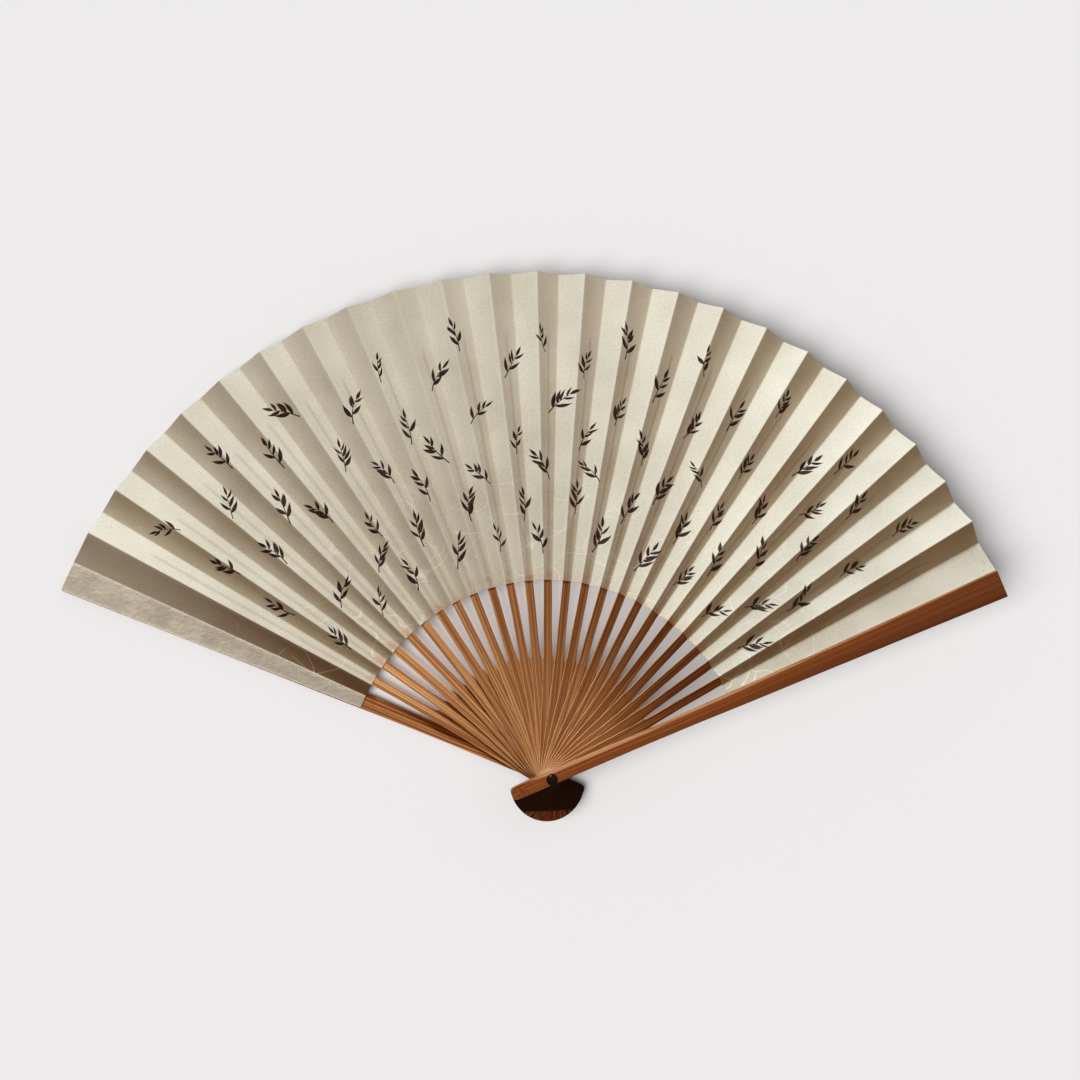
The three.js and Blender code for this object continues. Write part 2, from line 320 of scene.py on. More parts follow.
def drilled(draft: Draft, radius: float, sharp_deg: float) -> Draft:
    """Cuts a round hole about the Z axis through a body.

    Args:
        draft: The body.
        radius: The hole's radius.
        sharp_deg: The angle from which the body's edges stay sharp.

    Returns:
        The body with its hole.
    """
    body = placed("stick_blank", draft.mesh("stick_blank", sharp_deg))
    rim = np.linspace(0, 2 * math.pi, 48, endpoint=False)
    ring = np.stack([radius * np.cos(rim), radius * np.sin(rim), np.zeros(48)], 1)
    drill = loft(np.stack([ring - [0, 0, 0.05], ring + [0, 0, 0.05]]))
    cutter = placed("stick_drill", drill.mesh("stick_drill", sharp_deg))
    cut = body.modifiers.new("hole", "BOOLEAN")
    cut.operation, cut.solver, cut.object = "DIFFERENCE", "EXACT", cutter
    bpy.context.view_layer.update()
    done = body.evaluated_get(bpy.context.evaluated_depsgraph_get()).to_mesh()
    points = np.array([v.co for v in done.vertices], float)
    faces = [tuple(p.vertices) for p in done.polygons]
    for made in (body, cutter):
        bpy.data.objects.remove(made)
    return Draft(points, faces)


@dataclass(frozen=True)
class Stroke:
    """One brush mark on the leaf, as a closed outline seen from above."""

    outline: np.ndarray

    def seen_from(self, deg: float) -> np.ndarray:
        """The outline in the frame of a patch that points in a direction."""
        turn = math.radians(-deg)
        spin = np.array([[math.cos(turn), -math.sin(turn)], [math.sin(turn), math.cos(turn)]])
        return self.outline @ spin.T


def inside(points: np.ndarray, outline: np.ndarray) -> np.ndarray:
    """Which points lie inside a closed outline.

    Args:
        points: Points of the plane.
        outline: The outline's corners.

    Returns:
        One truth value for each point.
    """
    within = np.zeros(len(points), bool)
    for (ax, ay), (bx, by) in zip(outline, np.roll(outline, -1, axis=0), strict=True):
        if ay == by:
            continue
        crosses = (ay > points[:, 1]) != (by > points[:, 1])
        within ^= crosses & (points[:, 0] < (bx - ax) * (points[:, 1] - ay) / (by - ay) + ax)
    return within


@dataclass
class Sheet:
    """A thin sheet over a four-sided patch, in a frame that points out from the pin along +X.

    Its two long edges are straight: each is a distance to the left of X at the patch's near end
    and at its far end.
    """

    near: float
    far: float
    left: tuple[float, float]
    right: tuple[float, float]
    columns: Callable[[float, float], list[float]]
    top: Callable[[np.ndarray, np.ndarray], np.ndarray]
    bottom: Callable[[np.ndarray, np.ndarray], np.ndarray]
    step: float = 2.2 * MM
    fold_fade: float = 0.45 * MM
    spare: float = 0.1 * MM

    def edge(self, ends: tuple[float, float], x: np.ndarray | float) -> np.ndarray | float:
        """How far a long edge is from X, at a distance from the pin."""
        return ends[0] + (ends[1] - ends[0]) * (x - self.near) / (self.far - self.near)

    def _grid(self) -> tuple[list[tuple[float, float]], list[tuple[int, int]], list[int]]:
        """The patch's own points, the lines along it and the loop round it."""
        stations = np.linspace(self.near, self.far, max(3, round((self.far - self.near) / self.step)))
        rows = [self.columns(self.edge(self.right, x), self.edge(self.left, x)) for x in stations]
        across = len(rows[0])
        points = [(x, y) for x, row in zip(stations, rows, strict=True) for y in row]
        last = len(stations) - 1
        lines = [
            (i * across + j, (i + 1) * across + j) for i in range(last) for j in range(across)
        ]
        loop = list(range(across))
        loop += [i * across + across - 1 for i in range(1, last + 1)]
        loop += [last * across + j for j in range(across - 2, -1, -1)]
        loop += [i * across for i in range(last - 1, 0, -1)]
        return points, lines, loop

    def _holds(self, points: np.ndarray, spare: float = 0.0) -> np.ndarray:
        """Which points lie on the patch, or within a distance of it."""
        x, y = points[:, 0], points[:, 1]
        return (
            (x > self.near - spare)
            & (x < self.far + spare)
            & (y < self.edge(self.left, x) + spare)
            & (y > self.edge(self.right, x) - spare)
        )

    def draft(self, strokes: Sequence[np.ndarray]) -> Draft:
        """Builds the sheet, with the ink as faces of their own.

        Args:
            strokes: Outlines of brush marks, in the patch's frame.

        Returns:
            The closed sheet.
        """
        points, lines, loop = self._grid()
        near = [s for s in strokes if self._holds(s, self.spare).any() or self._crossed(s)]
        for stroke in near:
            first = len(points)
            points += [tuple(p) for p in stroke]
            count = len(stroke)
            lines += [(first + k, first + (k + 1) % count) for k in range(count)]
        flat = delaunay_2d_cdt(
            [Vector((x / MM, y / MM)) for x, y in points], lines, [loop], 1, 1e-5, False
        )
        spots = np.array([tuple(v) for v in flat[0]], float) * MM
        triangles = np.array(flat[2], int)
        centres = spots[triangles].mean(1)
        keep = self._holds(centres)
        triangles, centres = triangles[keep], centres[keep]
        corners = spots[triangles]
        span_a, span_b = corners[:, 1] - corners[:, 0], corners[:, 2] - corners[:, 0]
        area = span_a[:, 0] * span_b[:, 1] - span_a[:, 1] * span_b[:, 0]
        solid = np.abs(area) > 1e-13
        triangles, centres, area = triangles[solid], centres[solid], area[solid]
        triangles[area < 0] = triangles[area < 0][:, ::-1]
        used, triangles = np.unique(triangles, return_inverse=True)
        return self._closed(spots[used], triangles.reshape(-1, 3), centres, near)

    def _crossed(self, stroke: np.ndarray) -> bool:
        """Whether a brush mark lies across the patch with no corner on it."""
        mid = (stroke + np.roll(stroke, -1, axis=0)) / 2
        return bool(self._holds(mid, self.spare).any())

    def _closed(
        self,
        spots: np.ndarray,
        triangles: np.ndarray,
        centres: np.ndarray,
        strokes: Sequence[np.ndarray],
    ) -> Draft:
        """Gives a flat net its two faces and its rim.

        Args:
            spots: The net's points.
            triangles: The net's triangles, anticlockwise.
            centres: The middle of each triangle.
            strokes: Outlines of the brush marks on it.

        Returns:
            The closed sheet.
        """
        count = len(spots)
        x, y = spots[:, 0], spots[:, 1]
        top = np.column_stack([spots, self.top(x, y)])
        bottom = np.column_stack([spots, self.bottom(x, y)])
        inked = np.zeros(len(triangles), bool)
        for stroke in strokes:
            inked |= inside(centres, stroke)
        faces: list[tuple[int, ...]] = [tuple(map(int, t)) for t in triangles]
        faces += [tuple(int(i) + count for i in t[::-1]) for t in triangles]
        edges = {(int(t[k]), int(t[(k + 1) % 3])) for t in triangles for k in range(3)}
        faces += [(a, a + count, b + count, b) for a, b in sorted(edges) if (b, a) not in edges]
        fold = np.minimum(self.edge(self.left, x) - y, y - self.edge(self.right, x))
        fold = np.exp(-np.maximum(fold, 0) / self.fold_fade)
        tones = {"fold": np.concatenate([fold, fold])}
        slots = np.zeros(len(faces), np.int32)
        slots[: len(inked)] = inked
        return Draft(np.vstack([top, bottom]), faces, tones, slots)


# Shader helpers

Socket = bpy.types.NodeSocket
Sockets = bpy.types.bpy_prop_collection
Feed = Socket | float | tuple[float, ...]
Colour = tuple[float, ...]


def tone(red: float, green: float, blue: float) -> Colour:
    """The linear colour, with an alpha of 1, of an 8-bit sRGB colour."""
    parts = [c / 255 for c in (red, green, blue)]
    return (*(p / 12.92 if p <= 0.04045 else ((p + 0.055) / 1.055) ** 2.4 for p in parts), 1.0)


class Bench:
    """Places and joins the nodes of one node tree."""

    def __init__(self, tree: bpy.types.NodeTree) -> None:
        """Starts on a node tree, which loses the nodes it had."""
        tree.nodes.clear()
        self.tree = tree

    def add(self, kind: str, feeds: dict[str | int, Feed] | None = None, **options: object) -> bpy.types.Node:
        """Adds a node.

        Args:
            kind: The node's type name.
            feeds: What each input gets, by name or number: a socket to join, or a plain value.
            **options: The node's own settings.

        Returns:
            The new node.
        """
        node = self.tree.nodes.new(kind)
        for option, value in options.items():
            setattr(node, option, value)
        self.join(node, feeds or {})
        return node

    def join(self, node: bpy.types.Node, feeds: dict[str | int, Feed]) -> None:
        """Gives a node's inputs a socket to follow each, or a plain value.

        Args:
            node: The node.
            feeds: What each input gets, by name or number.
        """
        for key, feed in feeds.items():
            if isinstance(feed, Socket):
                self.tree.links.new(feed, node.inputs[key])
            else:
                node.inputs[key].default_value = feed

    def number(self, operation: str, *feeds: Feed, clamp: bool = False) -> Socket:
        """One sum of numbers."""
        feeding = dict(enumerate(feeds))
        return self.add("ShaderNodeMath", feeding, operation=operation, use_clamp=clamp).outputs[0]

    def times(self, first: Feed, second: Feed) -> Socket:
        """The product of two numbers."""
        return self.number("MULTIPLY", first, second)

    def plus(self, first: Feed, second: Feed) -> Socket:
        """The sum of two numbers."""
        return self.number("ADD", first, second)

    def per(self, first: Feed, second: Feed) -> Socket:
        """The first number divided by the second."""
        return self.number("DIVIDE", first, second)

    def vector(self, operation: str, *feeds: Feed) -> Socket:
        """One sum of vectors."""
        node = self.add("ShaderNodeVectorMath", dict(enumerate(feeds)), operation=operation)
        return node.outputs["Value" if operation == "LENGTH" else "Vector"]

    def spread(self, value: Feed, low: Feed, high: Feed, start: Feed = 0.0, end: Feed = 1.0) -> Socket:
        """Maps a value that runs from low to high onto start to end, with soft ends."""
        feeds = {0: value, 1: low, 2: high, 3: start, 4: end}
        return self.add("ShaderNodeMapRange", feeds, interpolation_type="SMOOTHSTEP").outputs[0]

    def mix(self, share: Feed, first: Feed, second: Feed, how: str = "MIX") -> Socket:
        """Mixes two colours, where share is how much of the second."""
        feeds = {0: share, 6: first, 7: second}
        return self.add("ShaderNodeMix", feeds, data_type="RGBA", blend_type=how).outputs[2]

    def layers(self, colour: Feed, *layers: tuple[Feed, Feed]) -> Socket:
        """Lays colours over a first one in turn.

        Args:
            colour: The first colour.
            *layers: The share and the colour of each further one.

        Returns:
            The resulting colour.
        """
        for share, over in layers:
            colour = self.mix(share, colour, over)
        return colour

    def noise(self, vector: Feed, scale: Feed, detail: float = 3.0, rough: float = 0.55) -> Socket:
        """A cloud pattern between 0 and 1, with as many clouds to one unit as the scale says."""
        feeds = {"Vector": vector, "Scale": scale, "Detail": detail, "Roughness": rough}
        return self.add("ShaderNodeTexNoise", feeds).outputs[0]

    def axes(self, vector: Feed) -> tuple[Socket, ...]:
        """The three parts of a vector."""
        return tuple(self.add("ShaderNodeSeparateXYZ", {0: vector}).outputs)

    def point(self, x: Feed, y: Feed, z: Feed) -> Socket:
        """A vector of three parts."""
        return self.add("ShaderNodeCombineXYZ", {0: x, 1: y, 2: z}).outputs[0]

    def painted(self, name: str) -> Socket:
        """The value that the mesh holds under a name."""
        return self.add("ShaderNodeAttribute", attribute_name=name).outputs["Fac"]

    def seen_by(self, first: str, *others: str) -> Socket:
        """Tells some kinds of ray from all others.

        Args:
            first: The name of one kind.
            *others: The names of further kinds.

        Returns:
            1 for the named kinds, and 0 for all others.
        """
        path = self.add("ShaderNodeLightPath").outputs
        seen = path[first]
        for ray in others:
            seen = self.number("MAXIMUM", seen, path[ray])
        return seen


class Surface(Bench):
    """The bench of one material, with its surface shader in place."""

    def __init__(self, name: str, **plain: float) -> None:
        """Starts a material.

        Args:
            name: The material's name.
            **plain: Values that are the same all over, with _ for each space in the socket's name.
        """
        self.material = bpy.data.materials.new(name)
        self.material.use_nodes = True
        super().__init__(self.material.node_tree)
        feeds = {label.replace("_", " "): value for label, value in plain.items()}
        self.shader = self.add("ShaderNodeBsdfPrincipled", feeds)
        self.add("ShaderNodeOutputMaterial", {"Surface": self.shader.outputs[0]})
        self.own = self.add("ShaderNodeTexCoord").outputs["Object"]

    def done(self, colour: Socket, rough: Socket, height: Socket, depth: float) -> bpy.types.Material:
        """Joins what varies to the surface shader.

        Args:
            colour: The colour.
            rough: The roughness.
            height: The relief's height, 0 to 1.
            depth: How deep the relief is.

        Returns:
            The material.
        """
        relief = {"Height": height, "Distance": depth, "Strength": 1.0}
        normal = self.add("ShaderNodeBump", relief).outputs["Normal"]
        self.join(self.shader, {"Base Color": colour, "Roughness": rough, "Normal": normal})
        return self.material


@dataclass
class Effect:
    """A shader node group that several finishes use, built when it is first placed."""

    name: str
    inputs: dict[str, Feed]
    wire: Callable[[Bench, Sockets], dict[str, Socket]]
    group: bpy.types.NodeTree | None = field(default=None, init=False)

    def _build(self) -> bpy.types.NodeTree:
        """Builds the group.

        Returns:
            The group. A tuple makes an input a vector, and each output is a number.
        """
        group = bpy.data.node_groups.new(self.name, "ShaderNodeTree")
        for label, value in self.inputs.items():
            kind = "NodeSocketVector" if isinstance(value, tuple) else "NodeSocketFloat"
            socket = group.interface.new_socket(name=label, in_out="INPUT", socket_type=kind)
            socket.default_value = value
        bench = Bench(group)
        results = self.wire(bench, bench.add("NodeGroupInput").outputs)
        for label in results:
            group.interface.new_socket(name=label, in_out="OUTPUT", socket_type="NodeSocketFloat")
        bench.add("NodeGroupOutput", results)
        return group

    def place(self, bench: Bench, **feeds: Feed) -> Sockets:
        """Places the group in a material, with what each input gets, and gives its outputs."""
        self.group = self.group or self._build()
        return bench.add("ShaderNodeGroup", feeds, node_tree=self.group).outputs


def fibre_pattern(bench: Bench, given: Sockets) -> dict[str, Socket]:
    """Long fibres that run along X: broad streaks, fine hairs and dark pores.

    Args:
        bench: The group's bench.
        given: The group's inputs.

    Returns:
        The group's outputs.
    """
    x, y, z = bench.axes(given["Vector"])
    shift = bench.times(given["Seed"], 37.0)
    along = bench.plus(bench.per(x, given["Length"]), shift)
    across = bench.per(bench.number("MULTIPLY_ADD", z, given["Depth"], y), given["Width"])
    streak = bench.noise(bench.point(along, bench.plus(across, shift), shift), 1.0, 1.0, 0.5)
    fine = bench.point(bench.times(along, 2.0), bench.times(across, 3.1), shift)
    dots = bench.point(bench.times(along, 30.0), bench.times(across, 4.0), shift)
    return {
        "Streak": bench.spread(streak, 0.38, 0.62),
        "Hair": bench.spread(bench.noise(fine, 1.0, 1.0, 0.5), 0.34, 0.66),
        "Pore": bench.spread(bench.noise(dots, 1.3, 1.0, 0.5), 0.66, 0.74),
    }


def cloud_pattern(bench: Bench, given: Sockets) -> dict[str, Socket]:
    """Soft clouds between 0 and 1."""
    moved = bench.vector("ADD", given["Vector"], bench.point(given["Seed"], 0.0, 0.0))
    return {"Cloud": bench.spread(bench.noise(moved, bench.per(1.0, given["Size"]), 4.0), 0.3, 0.7)}


def fleck_pattern(bench: Bench, given: Sockets) -> dict[str, Socket]:
    """Small separate specks, 1 in a speck and 0 between them.

    Args:
        bench: The group's bench.
        given: The group's inputs.

    Returns:
        The group's outputs.
    """
    grain = bench.noise(given["Vector"], bench.per(1.0, given["Size"]), 2.0, 0.6)
    level = bench.number("SUBTRACT", 0.78, bench.times(given["Cover"], 0.6))
    return {"Fleck": bench.spread(grain, level, bench.plus(level, 0.05))}


def felt_pattern(bench: Bench, given: Sockets) -> dict[str, Socket]:
    """Long curved fibres laid into the paper, and its fine felted tooth.

    Args:
        bench: The group's bench.
        given: The group's inputs.

    Returns:
        The group's outputs.
    """
    scale = bench.per(1.0, given["Spacing"])
    cut = bench.number("SUBTRACT", 0.85, bench.times(given["Cover"], 0.6))
    fibres: Feed = 0.0
    for shift in (0.0, 3.7, 9.1, 15.3):
        moved = bench.vector("ADD", given["Vector"], (shift, shift / 2, shift / 5))
        level = bench.number("SUBTRACT", bench.noise(moved, scale, 0.3), 0.5)
        line = bench.spread(bench.number("ABSOLUTE", level), 0.0, given["Width"], 1.0, 0.0)
        there = bench.spread(bench.noise(moved, 95.0, 1.0), cut, bench.plus(cut, 0.12))
        fibres = bench.number("MAXIMUM", fibres, bench.times(line, there))
    return {"Fibre": fibres, "Tooth": bench.noise(given["Vector"], 1100.0, 4.0, 0.7)}


def wear_pattern(bench: Bench, given: Sockets) -> dict[str, Socket]:
    """Rubbed edges: where the mesh says an edge is near, broken up by a cloud. Along the ribs' left edges it
    is partly a painted highlight.

    Args:
        bench: The group's bench.
        given: The group's inputs.

    Returns:
        The group's outputs.
    """
    cloud = bench.noise(given["Vector"], bench.per(1.0, given["Size"]), 3.0)
    worn = bench.times(given["Edge"], bench.spread(cloud, 0.25, 0.65, 0.35, 1.0))
    return {"Wear": bench.times(worn, given["Amount"])}


def stain_pattern(bench: Bench, given: Sockets) -> dict[str, Socket]:
    """The dark dye on a stick's head: how dark, and the paler streaks at the lowest head ends, partly worn
    and partly a painted highlight.

    Args:
        bench: The group's bench.
        given: The group's inputs.

    Returns:
        The group's outputs.
    """
    x, y, _ = bench.axes(given["Vector"])
    ragged = bench.noise(given["Vector"], 900.0, 2.0)
    edge = bench.number("MULTIPLY_ADD", y, given["Slant"], x)
    edge = bench.plus(edge, bench.times(ragged, 0.0012))
    later = bench.number("SUBTRACT", given["Start"], 0.0012)
    seed = bench.times(given["Seed"], 23.0)
    along, across = bench.times(x, 70.0), bench.times(y, 2500.0)
    lines = bench.noise(bench.point(along, across, seed), 1.0, 2.0)
    low = bench.number("MULTIPLY_ADD", ragged, 0.0008, given["Up"])
    low = bench.spread(low, -0.0131, -0.0121, 1.0, 0.0)
    hue = bench.noise(bench.point(along, across, bench.plus(seed, 9.0)), 0.8, 1.0)
    return {
        "Stain": bench.spread(edge, later, given["Start"], 1.0, 0.0),
        "Rub_and_highlight": bench.times(low, bench.spread(lines, 0.4, 0.48)),
        "Hue": bench.spread(hue, 0.46, 0.54),
    }


HERE = {"Vector": (0.0, 0.0, 0.0)}
FIBRE = Effect(
    "Bamboo fibre", HERE | {"Length": 0.03, "Width": 0.0005, "Depth": 0.0, "Seed": 0.0}, fibre_pattern
)
CLOUDS = Effect("Mottling", HERE | {"Size": 0.02, "Seed": 0.0}, cloud_pattern)
FLECKS = Effect("Flecks", HERE | {"Size": 0.0006, "Cover": 0.1}, fleck_pattern)
FELT = Effect("Paper fibres", HERE | {"Spacing": 0.01, "Width": 0.02, "Cover": 0.5}, felt_pattern)
EDGE_WEAR_AND_HIGHLIGHT = Effect("Edge wear", HERE | {"Edge": 0.0, "Size": 0.004, "Amount": 0.6}, wear_pattern)
HEAD_STAIN = Effect(
    "Head stain", HERE | {"Start": 0.0, "Slant": 1.8, "Up": 0.0, "Seed": 0.0}, stain_pattern
)

# Finishes


@dataclass(frozen=True)
class Bamboo:
    """Split bamboo, with dyed heads, edges worn pale, and a painted highlight along the ribs' left edges and
    at the lowest head ends.
    """

    name: str = "Split bamboo"
    light: Colour = tone(184, 126, 78)
    dark: Colour = tone(142, 84, 45)
    line: Colour = tone(84, 42, 18)
    deeper: Colour = (0.7, 0.62, 0.52, 1.0)
    paler: Colour = (1.42, 1.7, 2.0, 1.0)
    edge: Colour = tone(222, 174, 126)
    dye: Colour = tone(46, 22, 12)
    rubbed_and_lit: Colour = tone(172, 84, 44)
    grey: Colour = tone(158, 138, 118)
    dye_start: float = 3.0 * MM
    fibre_length: float = 220 * MM
    fibre_width: float = 0.62 * MM
    fibre_depth: float = 0.07 * MM
    depth: float = 0.0
    wear: float = 0.85
    wear_size: float = 6 * MM

    def material(self) -> bpy.types.Material:
        """Builds the material."""
        bench = Surface(self.name, Specular_IOR_Level=0.07)
        own, stick, rim, up = bench.own, *(bench.painted(name) for name in ("stick", "rim", "up"))
        wide, long, depth = self.fibre_width, self.fibre_length, self.depth
        fibre = FIBRE.place(bench, Vector=own, Length=long, Width=wide, Depth=depth, Seed=stick)
        wear = EDGE_WEAR_AND_HIGHLIGHT.place(bench, Edge=rim, Vector=own, Size=self.wear_size, Amount=self.wear)
        head = HEAD_STAIN.place(bench, Vector=own, Start=self.dye_start, Up=up, Seed=stick)
        streak, hair = fibre["Streak"], fibre["Hair"]
        tone_and_painted_light = bench.mix(bench.painted("pale"), self.deeper, self.paler)
        colour = bench.layers(
            bench.mix(1.0, bench.mix(streak, self.dark, self.light), tone_and_painted_light, "MULTIPLY"),
            (bench.spread(hair, 0.45, 1.0, 0.0, 0.6), self.line),
            (bench.times(fibre["Pore"], 0.4), self.line),
            (bench.times(bench.painted("shade"), 0.7), self.line),
            # Edge wear, with a painted highlight along the ribs' left edges.
            (wear["Wear"], self.edge),
            (bench.times(head["Stain"], bench.painted("dyed")), self.dye),
            # Paler streaks at the lowest head ends: partly worn, partly a painted highlight on the ends.
            (head["Rub_and_highlight"], bench.mix(head["Hue"], self.rubbed_and_lit, self.grey)),
        )
        height = bench.number("MULTIPLY_ADD", streak, 0.6, bench.times(hair, 0.4))
        return bench.done(colour, bench.spread(hair, 0.0, 1.0, 0.5, 0.68), height, self.fibre_depth)


@dataclass(frozen=True)
class GuardSkin:
    """The guards' smoked outer skin: dark red brown, with fine fibres and a low shine."""

    name: str = "Smoked bamboo skin"
    light: Colour = tone(152, 87, 44)
    dark: Colour = tone(126, 68, 32)
    deep: Colour = tone(78, 36, 14)
    edge: Colour = tone(192, 128, 78)
    fibre_length: float = 250 * MM
    fibre_width: float = 0.5 * MM
    fibre_depth: float = 0.03 * MM
    cloud_size: float = 30 * MM
    spot_size: float = 0.8 * MM
    spots_end: tuple[float, float] = (-12.5 * MM, -7 * MM)
    wear_size: float = 7 * MM

    def material(self) -> bpy.types.Material:
        """Builds the material."""
        bench = Surface(self.name, Specular_IOR_Level=0.1, Coat_Weight=0.03, Coat_Roughness=0.3)
        own, stick, rim = bench.own, bench.painted("stick"), bench.painted("rim")
        wide, long = self.fibre_width, self.fibre_length
        fibre = FIBRE.place(bench, Vector=own, Length=long, Width=wide, Depth=0.5, Seed=stick)
        cloud = CLOUDS.place(bench, Vector=own, Size=self.cloud_size, Seed=stick)["Cloud"]
        spots = FLECKS.place(bench, Vector=own, Size=self.spot_size, Cover=0.42)["Fleck"]
        wear = EDGE_WEAR_AND_HIGHLIGHT.place(bench, Edge=rim, Vector=own, Size=self.wear_size, Amount=0.5)
        at_end = bench.spread(bench.axes(own)[0], *self.spots_end, 0.7, 0.0)
        colour = bench.layers(
            bench.mix(fibre["Streak"], self.dark, self.light),
            (bench.spread(fibre["Hair"], 0.45, 1.0, 0.0, 0.4), self.deep),
            (bench.times(bench.painted("shade"), 0.8), self.deep),
            (bench.times(fibre["Pore"], 0.5), self.deep),
            (bench.times(spots, at_end), self.deep),
            (wear["Wear"], self.edge),
        )
        rough = bench.spread(cloud, 0.0, 1.0, 0.36, 0.52)
        return bench.done(colour, rough, fibre["Streak"], self.fibre_depth)


@dataclass(frozen=True)
class Paper:
    """Handmade paper: felted tooth, long pale fibres, age clouds, stains at the inner edge, and painted shade
    where the mesh asks for it.
    """

    name: str = "Leaf paper"
    base: Colour = tone(229, 227, 212)
    aged: Colour = tone(207, 202, 185)
    fibre: Colour = tone(240, 238, 226)
    speck: Colour = tone(128, 112, 88)
    stain: Colour = tone(186, 118, 66)
    # Brown of the bamboo showing through over the slips, and of the painted shade.
    brown: Colour = tone(134, 110, 84)
    shadow: Colour = (0.0, 0.0, 0.0, 1.0)
    fibre_cover: float = 0.72
    fibre_apart: float = 0.022
    crumple: float = 260.0
    crumple_depth: float = 0.06 * MM
    cloud_size: float = 0.03
    cloud_share: float = 0.55
    fold_light: float = 0.3
    # Distances from the pin between which each fades out
    ageing: tuple[float, float] = (85 * MM, 200 * MM)
    staining: tuple[float, float] = (81.5 * MM, 89 * MM)
    plain_fibres: tuple[float, float] = (100 * MM, 150 * MM)
    # Size and cover of the specks in the pulp, the outer spots and the stain's dots
    flecks: tuple[tuple[float, float], ...] = ((1.1 * MM, 0.09), (1.6 * MM, 0.22), (0.5 * MM, 0.58))
    patch_size: float = 8 * MM

    def material(self) -> bpy.types.Material:
        """Builds the material."""
        bench = Surface(self.name, Specular_IOR_Level=0.05)
        x, y, _ = bench.axes(bench.own)
        flat = bench.point(x, y, 0.0)
        reach = bench.vector("LENGTH", flat)
        cloud = CLOUDS.place(bench, Vector=flat, Size=self.cloud_size)["Cloud"]
        patch = CLOUDS.place(bench, Vector=flat, Size=self.patch_size, Seed=2.0)["Cloud"]
        apart, cover = self.fibre_apart, self.fibre_cover
        felt = FELT.place(bench, Vector=flat, Spacing=apart, Width=0.007, Cover=cover)
        fibre, tooth = felt["Fibre"], felt["Tooth"]
        placed = [FLECKS.place(bench, Vector=flat, Size=size, Cover=part) for size, part in self.flecks]
        speck, spots, dots = (made["Fleck"] for made in placed)
        inner = bench.spread(reach, *self.ageing, 1.0, 0.0)
        share = bench.times(cloud, self.cloud_share)
        aged = bench.number("MULTIPLY_ADD", inner, 0.7, share, clamp=True)
        grain = bench.spread(tooth, 0.3, 0.7, 0.91, 1.06)
        stained = bench.times(bench.spread(reach, *self.staining, 1.0, 0.0), patch)
        stained = bench.times(stained, bench.painted("glued"))
        colour = bench.mix(aged, self.base, self.aged)
        colour = bench.layers(
            bench.mix(1.0, colour, bench.point(grain, grain, grain), "MULTIPLY"),
            # Painted shade: the sheet is darkened towards black, and towards brown, where the mesh says so.
            (bench.painted("painted_shade"), self.shadow),
            (bench.painted("painted_shade_brown"), self.brown),
            (bench.times(bench.painted("slip"), 0.2), self.brown),
            (bench.times(fibre, bench.spread(reach, *self.plain_fibres, 0.5, 0.08)), self.fibre),
            (bench.times(speck, 0.4), self.speck),
            (bench.times(spots, bench.painted("spotted")), self.speck),
            (bench.times(stained, dots), self.stain),
            (bench.times(bench.painted("fold"), self.fold_light), self.fibre),
        )
        height = bench.number("MULTIPLY_ADD", tooth, 0.3, bench.noise(flat, self.crumple))
        height = bench.number("MULTIPLY_ADD", fibre, 0.25, height)
        rough = bench.spread(tooth, 0.2, 0.8, 0.78, 0.92)
        return bench.done(colour, rough, height, self.crumple_depth)


@dataclass(frozen=True)
class Ink:
    """Brushed ink, thin enough in places for the paper to show."""

    name: str = "Brushed ink"
    black: Colour = tone(38, 25, 22)
    thin: Colour = tone(78, 58, 50)
    bare: Colour = tone(150, 134, 116)
    pool_size: float = 3 * MM
    dry_size: float = 0.5 * MM
    dry_depth: float = 0.02 * MM

    def material(self) -> bpy.types.Material:
        """Builds the material."""
        bench = Surface(self.name, Specular_IOR_Level=0.1)
        pool = CLOUDS.place(bench, Vector=bench.own, Size=self.pool_size)["Cloud"]
        dry = FLECKS.place(bench, Vector=bench.own, Size=self.dry_size, Cover=0.25)["Fleck"]
        over = (bench.times(pool, 0.55), self.thin), (bench.times(dry, 0.3), self.bare)
        rough = bench.spread(pool, 0.0, 1.0, 0.62, 0.8)
        return bench.done(bench.layers(self.black, *over), rough, dry, self.dry_depth)


@dataclass(frozen=True)
class Horn:
    """Polished dark horn."""

    name: str = "Polished horn"
    black: Colour = tone(22, 7, 0)
    brown: Colour = tone(44, 17, 6)
    cloud_size: float = 1.8 * MM
    grain_length: float = 6 * MM
    grain_width: float = 0.4 * MM
    grain_depth: float = 0.01 * MM

    def material(self) -> bpy.types.Material:
        """Builds the material."""
        bench = Surface(self.name, Specular_IOR_Level=0.02, Coat_Weight=0.1, Coat_Roughness=0.08)
        cloud = CLOUDS.place(bench, Vector=bench.own, Size=self.cloud_size)["Cloud"]
        long, wide = self.grain_length, self.grain_width
        grain = FIBRE.place(bench, Vector=bench.own, Length=long, Width=wide)["Streak"]
        colour = bench.mix(bench.times(cloud, grain), self.black, self.brown)
        return bench.done(colour, bench.spread(cloud, 0.0, 1.0, 0.16, 0.28), grain, self.grain_depth)


